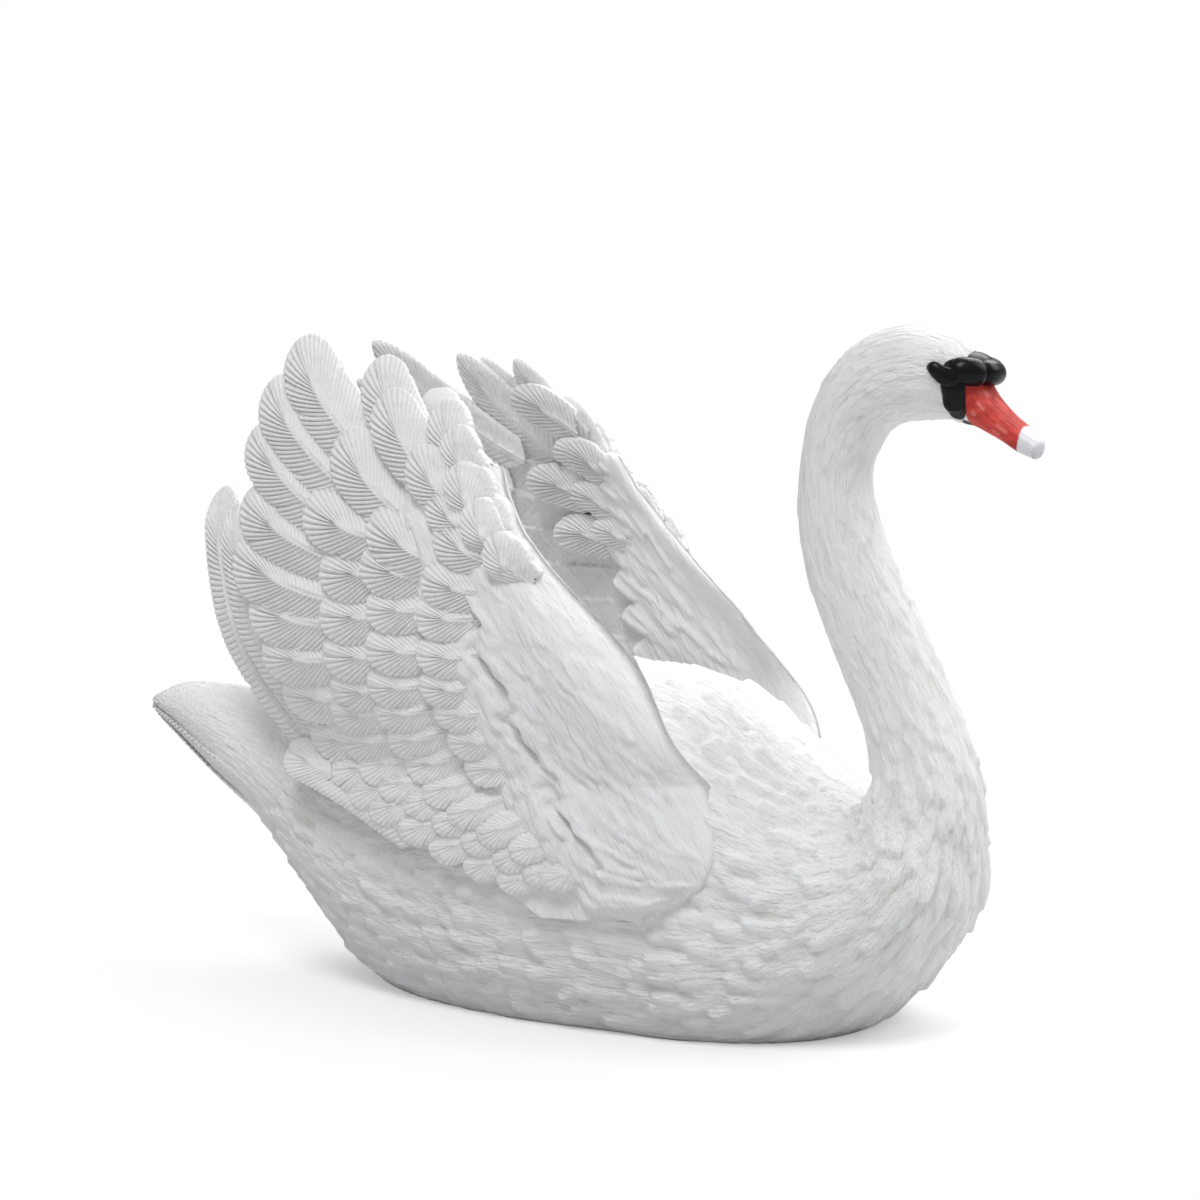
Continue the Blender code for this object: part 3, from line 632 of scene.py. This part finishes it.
# Wings: each is a second moulding in the same matt white plastic, glued into a pocket in the flank.
# Its web is a closed shell worked out along rays from the leading edge to the fringe.
# Heights with the free wing's distance from the middle plane, then the rays: five side-view points each.
wing_heights = np.array([
    (10, 19.3), (20, 19.8), (30, 19.9), (40, 19.2), (50, 17.4), (60, 14.4), (70, 10.6), (80, 6.0),
])
wing_rays = np.array([
    ((-12.2, 57.0), (-15.5, 58.0), (-22.0, 59.5), (-28.5, 63.5), (-37.5, 71.0)),
    ((-10.4, 53.3), (-18.0, 54.6), (-25.6, 54.0), (-33.0, 58.0), (-42.6, 67.5)),
    ((-7.4, 49.3), (-17.6, 50.0), (-26.2, 49.0), (-34.5, 51.5), (-45.2, 59.0)),
    ((-3.2, 44.9), (-18.0, 45.5), (-25.8, 44.5), (-32.4, 45.5), (-45.3, 50.0)),
    ((1.5, 40.5), (-18.4, 41.0), (-25.0, 40.0), (-31.4, 40.0), (-43.0, 42.0)),
    ((5.4, 36.1), (-17.8, 36.0), (-24.4, 35.0), (-30.8, 34.5), (-39.0, 34.5)),
    ((9.6, 30.0), (-15.5, 30.5), (-22.8, 29.5), (-29.4, 28.5), (-35.4, 28.0)),
    ((12.8, 24.4), (-11.0, 25.5), (-18.0, 24.0), (-25.0, 23.6), (-30.0, 23.0)),
    ((14.2, 20.0), (-6.0, 21.0), (-11.5, 20.0), (-18.0, 20.2), (-22.0, 18.6)),
    ((13.2, 16.1), (0.0, 17.0), (-4.0, 16.8), (-9.5, 17.0), (-12.5, 15.2)),
    ((7.5, 12.5), (3.4, 12.7), (0.8, 12.4), (-2.4, 12.2), (-5.0, 12.1)),
])
leading_edge = wing_rays[:8, 0]
# half width of the body on a side-view raster, worked out once: the greatest sample in each cell, spread to
# the empty cells beside it and smoothed
raster_left, raster_cell, raster_shape = -60, 0.5, (193, 73)
flank_samples = body_form(np.linspace(0, 16, 321), np.linspace(0, np.pi, 241)).reshape(-1, 3)
flank_raster = np.full(raster_shape, -1.0)
cell_x = np.round((flank_samples[:, 0] - raster_left) / raster_cell).astype(int).clip(0, raster_shape[0] - 1)
cell_z = np.round(flank_samples[:, 2] / raster_cell).astype(int).clip(0, raster_shape[1] - 1)
np.maximum.at(flank_raster, (cell_x, cell_z), flank_samples[:, 1])
for _ in range(3):
    grown = np.maximum.reduce([np.roll(flank_raster, s, a) for s in (-1, 1) for a in (0, 1)])
    flank_raster = np.where(flank_raster < 0, grown, flank_raster)
flank_raster = np.where(flank_raster < 0, 9.0, flank_raster)
for _ in range(3):
    flank_raster[1:-1, 1:-1] = (
        4 * flank_raster[1:-1, 1:-1] + flank_raster[2:, 1:-1] + flank_raster[:-2, 1:-1]
        + flank_raster[1:-1, 2:] + flank_raster[1:-1, :-2]
    ) / 8


def flank(x, z):
    """Half width of the body at side-view points, read from the raster between its four nearest cells."""
    i = np.clip((x - raster_left) / raster_cell, 0, raster_shape[0] - 1.001)
    j = np.clip(z / raster_cell, 0, raster_shape[1] - 1.001)
    a, b = i.astype(int), j.astype(int)
    f, g = i - a, j - b
    r = flank_raster
    return (r[a, b] * (1 - f) + r[a + 1, b] * f) * (1 - g) + (r[a, b + 1] * (1 - f) + r[a + 1, b + 1] * f) * g


def distance_to(line, x, z, signed=False):
    """Side-view distance from points to a polyline, negative on its left where signed."""
    best, turn = np.full(np.shape(x), 1e9), np.ones(np.shape(x))
    for a, b in zip(line[:-1], line[1:]):
        ab = b - a
        away = from_stroke(a, b, x, z)
        turn = np.where(away < best, np.sign((z - a[1]) * ab[0] - (x - a[0]) * ab[1]), turn)
        best = np.minimum(best, away)
    return -best * turn if signed else best


def wing_face(x, z, least=0.0):
    """Distance of a wing's outer face from the middle plane.

    Low down it follows the flank, a little proud of it; higher it leans inwards as a free wing, curls in
    towards the rear, and its leading edge rolls over, more low down than at the top. Feathers leave out the
    steepest share of the roll, given by least.
    """
    roll_low, roll_top, proud = 5.0, 2.4, 0.6
    low = flank(x, np.minimum(z, 26.0)) + proud + 0.7 * ease(6, -6, x) + 0.10 * np.clip(-12 - x, 0, 30)
    free = np.interp(z, wing_heights[:, 0], wing_heights[:, 1]) - 0.003 * np.clip(-8 - x, 0, 80) ** 2
    lifted = ease(22, 38, z)
    inward = np.clip(distance_to(leading_edge, x, z, True) / roll_low, least, 1)
    roll = np.interp(z, (38, 50), (roll_low, roll_top)) * (1 - np.sqrt(1 - (1 - inward) ** 2))
    return (1 - lifted) * low + lifted * free - roll * ease(27, 38, z)


# web: closed shell, outer face out along each ray and inner face back
web_columns, web_out, web_in = 220, 108, 94
web_at = np.linspace(0, 10, web_columns)
web_lines = through(wing_rays.reshape(11, -1), web_at).reshape(web_columns, 5, 2)
reach_out = np.concatenate([[0.0], np.linspace(0.012, 1.0, web_out - 1)])
web_share = np.interp(web_at, (0, 2, 4, 10), (-0.25, -0.1, 0.25, 0.5))[:, None]
web_end = web_lines[:, 3] + (web_lines[:, 4] - web_lines[:, 3]) * web_share
outer_xz = web_lines[:, 0][None] * (1 - reach_out)[:, None, None] + web_end[None] * reach_out[:, None, None]
reach_in = np.linspace(1.0, 0.0, web_in) ** 1.25
inner_xz = web_lines[:, 0][None] * (1 - reach_in)[:, None, None] + web_end[None] * reach_in[:, None, None]
web_close = np.sqrt(np.clip(1 - (2 * web_at / 10 - 1) ** 30, 0, 1))
outer_face = wing_face(outer_xz[..., 0], outer_xz[..., 1])
inner_face = wing_face(inner_xz[..., 0], inner_xz[..., 1])
edge_round = np.sqrt(np.clip(1 - (1 - np.clip(reach_in / 0.06, 0, 1)) ** 2, 0, 1))
wall_share = edge_round * np.interp(reach_in, (0, 0.6, 1), (1.0, 0.85, 0.35))
wall_thick = 2.3
wing_wall = wall_thick * wall_share[:, None] * web_close[None]


def shoulder_relief(x, z, rng):
    """Broad lumps behind the shoulder's groove, fine strokes in front of it, and the depth of the groove.

    The lumps stand on a loose brick pattern in lines along their run, down and forward. Each rises slowly, is
    rounded across and drops off at its low end; the relief is the highest lump at each point.
    """
    groove = np.array([(-15.0, 47.0), (-9.5, 36.5), (-4.0, 27.0), (2.5, 18.0)])
    line_gap, step_gap = 1.25, 3.6
    field = np.zeros(x.shape)
    for line in np.arange(-34, 34, line_gap):
        for step in np.arange(-36, 36, step_gap):
            down = step + rng.uniform(-1.6, 1.6)
            aside = line + rng.uniform(-0.5, 0.5)
            cx, cz = -2 + down * 0.5 + aside * 0.87, 33 - down * 0.87 + aside * 0.5
            # 0 behind the groove, 1 in front of it
            front = float(ease(-2, 4, (cx + 9.5) * 0.87 + (cz - 36.5) * 0.49 + 1.0))
            low_turn = 45 * float(ease(24, 14, cz)) * front
            heading = np.radians(-60 + 12 * front + low_turn) + rng.normal(0, 0.16)
            long = rng.uniform(2.2, 4.2) * (1 - 0.15 * front)
            wide = rng.uniform(0.9, 1.6) * (1 - 0.62 * front)
            high = rng.uniform(0.3, 1.0) * (1 - 0.55 * front)
            near = (np.abs(x - cx) < long + 1) & (np.abs(z - cz) < long + 1)
            dx, dz = x[near] - cx, z[near] - cz
            a = (dx * np.cos(heading) + dz * np.sin(heading)) / long
            b = (-dx * np.sin(heading) + dz * np.cos(heading)) / wide
            across = np.clip(1 - b * b / np.clip(1 - 0.8 * np.clip(a, -1, 1) ** 2, 0.05, 1), 0, 1)
            lift = high * across * (0.35 + 0.65 * (a + 1) / 2) * ease(-1, -0.4, a) * (1 - ease(0.6, 1.0, a))
            field[near] = np.maximum(field[near], lift)
    # the groove wanders, is deepest on its bends, and has a small step beside it
    beside = distance_to(groove, x, z, True) + 0.6 * np.sin(1.05 * z + 0.4 * x) + 0.2 * np.sin(2.9 * z)
    pits = 0.5 + 0.5 * np.sin(z * 1.45 + 0.9 * x + 1.0)
    field = field + 0.35 * np.exp(-(((beside + 1.1) / 0.9) ** 2))
    return field, (0.4 + pits) * np.exp(-((beside / 0.5) ** 2))


shoulder_rng = np.random.default_rng(21)
lumps, to_groove = shoulder_relief(outer_xz[..., 0], outer_xz[..., 1], shoulder_rng)
on_shoulder = ease(0.01, 0.07, reach_out)[:, None] * (1 - ease(0.5, 0.7, reach_out))[:, None]
shoulder_bulge = 1.3 * ease(0.0, 0.16, reach_out)[:, None] * (1 - ease(0.42, 0.66, reach_out))[:, None]
shoulder_bulge = shoulder_bulge - 0.3 * ease(0.4, 0.6, reach_out)[:, None]
low_fade = ease(0.0, 0.5, 10 - web_at)[None]
outer_y = outer_face + shoulder_bulge * low_fade + (lumps - 0.2 - to_groove) * on_shoulder
seam_dip = 1.5 * (1 - ease(24, 33, web_lines[:, 0, 1]))[None]
outer_y = outer_y - seam_dip * (1 - np.sqrt(1 - (1 - np.clip(reach_out / 0.03, 0, 1)) ** 2))[:, None]

# inner face: a thick covert band with ragged tufts, its stepped end, and the long vanes behind it
to_first = np.linalg.norm(web_lines[:, 1] - web_lines[:, 0], axis=1)
covert_share = reach_in[:, None] * np.linalg.norm(web_end - web_lines[:, 0], axis=1)[None] / to_first[None]
vane = (web_at / 0.8) % 1.0
free_share = ease(30, 38, inner_xz[..., 1])
scallop = 0.68 + 0.10 * (1 - (2 * vane - 1) ** 2)[None] - 0.25 * ease(2.5, 0.5, web_at)[None]
past_band = ease(0.0, 0.035, covert_share - scallop)
band_rise = 0.6 * ease(0.08, 0.5, covert_share) * (1 - past_band) - 0.75 * past_band
inner_tufts, _ = shoulder_relief(inner_xz[..., 0] + 3, inner_xz[..., 1] + 5, np.random.default_rng(58))
in_tufts = ease(0.12, 0.3, covert_share) * (1 - past_band)
vane_run = inner_xz[..., 0] * 0.62 - inner_xz[..., 1] * 0.78
vane_tilt = 0.5 * (vane - 0.5)[None] * ease(0.0, 0.25, covert_share - scallop)
vane_barbs = 0.14 * np.cos(2 * np.pi * vane_run / 0.85) - vane_tilt
vane_rise = vane_barbs * past_band * (1 - ease(0.9, 1, reach_in))[:, None]
inner_rise = free_share * (band_rise + 1.7 * inner_tufts * in_tufts + vane_rise)
inner_y = inner_face - wing_wall - inner_rise - seam_dip * (1 - ease(0.0, 0.03, reach_in))[:, None]


def wing_flow(x, y, z):
    """Coordinates that run along the shoulder's strokes, down and forward."""
    heading = np.radians(-60)
    along = x * np.cos(heading) + z * np.sin(heading)
    across = -x * np.sin(heading) + z * np.cos(heading)
    return np.stack([along * 0.16, across, y], -1)


wing_white, _, _ = white_plastic("wing_white_plastic", 0.00045, 1.7, (0.70, 0.645, 0.60, 1.0))

# Feathers: tip x z, root x z, breadth, layer. Layers rise from the fringe inwards to the shoulder.
outer_feathers = np.array([
    (-40.9, 69.6, -24.2, 55.9, 6.4, 0), (-43.7, 65.2, -26.2, 52.6, 6.2, 0),
    (-44.8, 60.0, -27.5, 49.5, 6.0, 0), (-44.4, 52.9, -27.7, 46.6, 6.0, 0),
    (-44.9, 47.3, -27.2, 42.6, 6.0, 0), (-41.8, 41.8, -26.9, 40.5, 5.3, 0),
    (-39.7, 36.7, -26.7, 37.3, 4.8, 0), (-37.5, 32.5, -25.1, 33.2, 4.5, 0),
    (-34.8, 27.5, -23.7, 29.7, 4.1, 0), (-31.8, 24.6, -22.1, 27.2, 3.8, 0),
    (-28.6, 22.7, -20.0, 25.3, 3.6, 0), (-25.4, 21.2, -17.1, 24.1, 3.3, 0),
    (-21.1, 19.4, -13.8, 22.3, 3.3, 0), (-17.0, 17.7, -10.2, 20.6, 3.1, 0),
    (-12.7, 16.3, -6.4, 18.9, 2.9, 0), (-8.5, 15.3, -2.6, 17.6, 2.6, 0),
    (-31.7, 59.8, -17.5, 49.9, 6.0, 1), (-34.9, 52.8, -21.0, 49.1, 5.6, 1),
    (-31.9, 46.1, -21.9, 46.3, 5.0, 1), (-31.4, 41.5, -21.4, 42.1, 4.8, 1),
    (-30.6, 37.4, -20.4, 38.1, 4.5, 1), (-29.9, 33.6, -20.2, 34.6, 4.1, 1),
    (-30.4, 30.8, -20.0, 32.6, 3.8, 1), (-29.8, 27.7, -18.7, 30.2, 3.8, 1),
    (-27.5, 25.5, -17.1, 28.3, 3.6, 1), (-24.3, 23.8, -15.3, 26.6, 3.3, 1),
    (-20.7, 22.4, -12.4, 25.0, 3.3, 1), (-16.7, 20.7, -9.5, 23.5, 3.1, 1),
    (-12.9, 19.0, -6.2, 21.9, 3.1, 1), (-8.9, 17.6, -2.8, 20.4, 2.9, 1), (-5.3, 16.3, 0.4, 19.1, 2.6, 1),
    (-28.7, 67.8, -18.3, 55.7, 5.7, 1), (-26.6, 64.3, -14.5, 52.9, 5.5, 2),
    (-18.9, 63.7, -12.1, 55.8, 4.5, 1), (-25.5, 51.6, -13.6, 46.7, 5.3, 2),
    (-26.1, 47.2, -15.8, 45.9, 4.5, 2), (-24.9, 42.6, -15.5, 43.1, 4.1, 2),
    (-24.6, 38.5, -15.1, 38.8, 4.1, 2), (-24.5, 34.5, -15.1, 35.4, 3.6, 2),
    (-23.8, 31.4, -14.2, 33.3, 3.3, 2), (-22.7, 28.5, -13.2, 31.0, 3.3, 2),
    (-20.7, 26.1, -11.7, 28.8, 3.3, 2), (-18.1, 23.7, -10.0, 26.8, 3.3, 2),
    (-14.7, 21.8, -7.1, 24.6, 3.1, 2), (-10.9, 20.1, -4.1, 22.9, 2.9, 2),
    (-6.9, 18.7, -0.7, 21.2, 2.6, 2), (-3.1, 16.0, 2.5, 18.8, 2.6, 2), (-16.6, 61.2, -12.4, 55.6, 3.9, 2),
    (-12.6, 57.9, -9.4, 51.8, 3.4, 2), (-9.8, 55.0, -7.4, 49.6, 3.0, 2),
    (-21.0, 58.6, -12.4, 52.6, 4.6, 3), (-15.4, 57.4, -10.4, 51.6, 3.8, 3),
    (-12.6, 53.9, -8.2, 48.4, 3.4, 4), (-18.0, 54.3, -10.3, 50.3, 3.8, 3),
    (-16.6, 51.3, -8.7, 47.4, 4.1, 3), (-17.8, 46.2, -9.7, 44.5, 4.1, 3),
    (-18.4, 42.4, -10.3, 42.1, 3.8, 3), (-17.8, 38.3, -10.1, 38.5, 3.6, 3),
    (-17.5, 35.1, -9.8, 35.1, 3.3, 3), (-15.9, 32.3, -8.6, 32.8, 3.1, 3),
    (-14.5, 29.3, -7.4, 30.3, 3.1, 3), (-12.8, 26.5, -5.9, 28.1, 3.1, 3),
    (-7.4, 50.9, -5.0, 45.6, 2.8, 3), (-9.8, 50.6, -5.8, 46.0, 3.0, 4),
])
# two upright feathers that only the left wing shows, behind its first three
left_feathers = np.array([(-31.0, 68.2, -19.0, 55.5, 6.2, 0), (-24.2, 67.7, -16.4, 57.5, 5.2, 0)])
# long flight feathers behind the fan: tip x z, root x z, breadth, depth behind the outer face, bow
flight_feathers = np.array([
    (-50.8, 53.5, -31.6, 23.4, 5.0, -3.0, 0.12), (-47.4, 51.8, -31.2, 26.7, 5.0, -2.0, 0.10),
    (-39.0, 25.8, -18.6, 18.4, 4.6, -0.2, -0.04),
])
# coverts on the inner face: tip x z, root x z, breadth
inner_feathers = np.array([
    (-23.6, 64.0, -16.8, 59.1, 4.6), (-14.0, 61.1, -11.3, 54.9, 4.0), (-19.7, 57.9, -14.6, 55.6, 4.0),
    (-23.6, 54.3, -15.2, 51.5, 4.8), (-18.3, 53.3, -12.1, 49.2, 3.6), (-21.1, 48.3, -12.7, 46.6, 4.6),
    (-16.3, 49.1, -10.8, 46.4, 3.3),
])


def feather(tip, root, breadth, bow, thick, lift, slant, inner, two_faced, rng, pointed=False, lap=0.15):
    """One feather laid on the wing's face, as a closed ring of columns at each barb.

    The grid's rows are barbs: each leaves the shaft and runs out and towards the tip to the outline, and at
    the end they fan round the tip. Height over the wing's face is a low dome, ridges along the barbs, a shaft
    with a groove down its middle, a rise towards the tip and a slant that tucks one edge under.
    """
    # roots stay well inside the leading edge; tips may lap over it
    tip, root = [
        np.array(end) - np.array((0.821, 0.573)) * max(gap - float(distance_to(leading_edge, *end, True)), 0)
        for end, gap in ((tip, lap * breadth), (root, 0.45 * breadth + 0.6))
    ]
    length = float(np.hypot(*(tip - root)))
    axis = (tip - root) / length
    cross = np.array([-axis[1], axis[0]])
    upper = np.sign(cross[1]) if abs(cross[1]) > 0.2 else np.sign(cross[0])
    half = breadth / 2
    round_end = min((2.6 if pointed else 1.35) * half, 0.6 * length)
    # outline: half width against distance from the root, walked evenly by its own arc length
    bend = np.linspace(0, np.pi / 2, 40)
    rounded = length - round_end + round_end * np.sin(bend[1:])
    out_x = np.concatenate([np.linspace(0, length - round_end, 40), rounded])
    taper = 0.80 + 0.20 * np.sin(np.pi / 2 * np.clip(out_x / (length - round_end), 0, 1))
    out_w = half * taper * np.concatenate([np.ones(40), np.cos(bend[1:]) ** (1.2 if pointed else 0.9)])
    arc = np.concatenate([[0], np.cumsum(np.hypot(np.diff(out_x), np.diff(out_w)))])
    start = np.interp(half * 0.8, out_x, arc) / arc[-1]
    barbs = max(int(arc[-1] * (1 - start) / np.interp(breadth, (4, 6), (0.62, 0.76))), 7)
    q = np.linspace(0, 1, barbs * 4 + 1)
    at = (start + (1 - start) * q) * arc[-1]
    edge_x, edge_w = np.interp(at, arc, out_x), np.interp(at, arc, out_w)
    fan = max(length - 1.7 * half, 0.45 * length)
    shaft_x = fan * (1 - (1 - q) ** 1.35)
    ridge = (0.5 + 0.5 * np.cos(2 * np.pi * (q * barbs))) ** 0.7
    split = np.zeros(len(q))
    for _ in range(rng.integers(0, 3)):
        split += np.exp(-(((q - rng.uniform(0.25, 0.85)) * barbs / 0.4) ** 2))
    # from the shaft, 0, to the outline, 1, on each side
    t = np.array([0.0, 0.05, 0.10, 0.16, 0.36, 0.62, 0.84, 0.96, 1.0])
    nick = 0.035 * (1 - ridge) + 0.20 * np.clip(split, 0, 1)
    nick = nick * np.clip(edge_w / half * 2, 0, 1) * breadth / 6
    dome_high, shaft_high, groove_deep, split_deep, edge_fall = 0.34, 0.20, 0.06, 0.22, 0.22
    halves = []
    for hand in (-1, 1):
        deep = 1.0 if hand * upper < 0 else 0.62
        sag = 0.08 * half * 4 * (t * (1 - t))[None] * (1 - q[:, None] ** 3)
        x = shaft_x[:, None] * (1 - t) + edge_x[:, None] * t - sag
        w = (edge_w - nick)[:, None] * t
        fade = (ease(0.06, 0.2, t) * (1 - 0.55 * ease(0.85, 1.0, t)))[None]
        barb_depth = (0.55 if inner else 0.42) * deep * np.clip(breadth / 5.5, 0.4, 1)
        barb_depth = barb_depth * np.interp(tip[1], (18, 30, 48), (0.4, 0.55, 1.0))
        h = dome_high * half / 2.5 * (1 - t**2)[None]
        h = h - barb_depth * (1 - ridge)[:, None] * fade * ease(0, 0.06, q)[:, None]
        h = h - split_deep * breadth / 6 * np.clip(split, 0, 1)[:, None] * ease(0.5, 1.0, t)[None]
        shaft = shaft_high * np.exp(-(((t - 0.07) / 0.045) ** 2)) - groove_deep * np.exp(-((t / 0.04) ** 2))
        h = h + (1 - ease(0.35, 0.85, q))[:, None] * shaft[None]
        h = h - edge_fall * ease(0.8, 1.0, t)[None]
        halves.append((x, hand * w, h))
    x, w, h = [np.concatenate([one[:, ::-1], other[:, 1:]], 1) for one, other in zip(*halves)]
    if two_faced:
        keep = np.arange(x.shape[1])[::-1][1:-1]
        under = -thick - 0.8 * (h[:, keep] - 0.1)
    else:
        keep = np.array([x.shape[1] - 1, 0])
        under = np.full((len(q), 2), -thick)
    x_all, w_all = np.concatenate([x, x[:, keep]], 1), np.concatenate([w, w[:, keep]], 1)
    share = x_all / length
    v = w_all / half
    # the bow bends the shaft sideways
    side = w_all + bow * length * 4 * share * (1 - share)
    side_x = root[0] + axis[0] * x_all + cross[0] * side
    side_z = root[1] + axis[1] * x_all + cross[1] * side
    tuck = slant * v * upper * (breadth / 5) * ease(0, 0.3, share)
    rise = lift * ease(0, 0.5, share) + 0.55 * share**1.5 - tuck
    height = np.concatenate([h, under], 1) + rise
    # painted shade in the grooves between the barbs, none on the underside
    between = np.repeat((1 - ridge)[:, None], x.shape[1], 1)
    painted_shade = np.concatenate([between, np.zeros((len(q), len(keep)))], 1)
    made = [side_x, wing_face(side_x, side_z, 0.3) + (-2.2 - height if inner else height), side_z, painted_shade]
    # the root and the tip each close to a point
    return [np.concatenate([0 * g[:1] + g[:1].mean(), g, 0 * g[-1:] + g[-1:].mean()]) for g in made]


def wing_grids(side):
    """Feather grids of one wing as (outer coverts, fringe and flight feathers, inner coverts)."""
    rng = np.random.default_rng(33)
    coverts, fringe, inside = [], [], []

    def place(made, bucket, inner=False):
        """Puts a feather on its side of the swan and turns its rings so that faces look outward."""
        x, y, z, painted_shade = made
        points = np.stack([x, side * y, z], -1)
        if (side > 0) != inner:
            points, painted_shade = points[:, ::-1], painted_shade[:, ::-1]
        bucket.append((points, {"painted_shade": 0.5 * painted_shade, "flow": points * 0.3}))

    feathers = outer_feathers if side < 0 else np.concatenate([outer_feathers, left_feathers])
    for x, z, rx, rz, breadth, layer in feathers:
        shallow = np.interp(z, (14, 38), (0.45, 1.0))
        lift = (0.15 + 0.50 * layer) * shallow
        breadth = breadth * np.interp(z, (20, 45, 60), (1.30, 1.22, 1.08))
        fringe_row = layer == 0
        wall = 1.3 if fringe_row else 1.7 if rx > -13 and rz > 44 else 1.2
        two_faced = fringe_row or z > 57
        spike = side > 0 and z > 60
        breadth = breadth * (0.8 if spike else 1)
        lap = 0.15 if side < 0 else 0.45
        made = feather(
            (x, z), (rx, rz), breadth, 0.05, wall, lift, 0.36 * shallow, False, two_faced, rng, spike, lap
        )
        place(made, fringe if fringe_row else coverts)
    for x, z, rx, rz, breadth, depth, bow in flight_feathers:
        place(feather((x, z), (rx, rz), breadth, bow, 1.2, depth, 0.3, False, True, rng), fringe)
    for x, z, rx, rz, breadth in inner_feathers:
        place(feather((x, z), (rx, rz), breadth, -0.05, 1.0, 0.7, 0.3, True, False, rng), inside, True)
    return coverts, fringe, inside


for side, hand in ((-1, "right"), (1, "left")):
    ring_x = np.concatenate([outer_xz[..., 0], inner_xz[..., 0]])
    ring_z = np.concatenate([outer_xz[..., 1], inner_xz[..., 1]])
    ring_y = np.concatenate([outer_y, inner_y])
    web = np.stack([ring_x, side * ring_y, ring_z], -1).transpose(1, 0, 2)
    web_flow = wing_flow(web[..., 0], web[..., 1], web[..., 2])
    # painted shade between the shoulder's lumps, none on the inner face
    web_painted_shade = np.concatenate([np.clip(1 - lumps / 0.16, 0, 1) * on_shoulder * 0.4, 0 * inner_y]).T
    if side < 0:
        web, web_flow, web_painted_shade = web[:, ::-1], web_flow[:, ::-1], web_painted_shade[:, ::-1]
    coverts, fringe, inside = wing_grids(side)
    web_grids = [(web, {"flow": web_flow, "painted_shade": web_painted_shade})]
    parts = {"web": web_grids, "coverts": coverts, "fringe": fringe, "inner_coverts": inside}
    for name, grids in parts.items():
        piece = write_piece("wing_%s_%s" % (hand, name), grids, wing_white)
        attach(piece, "root")
        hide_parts("wing_%s" % hand)
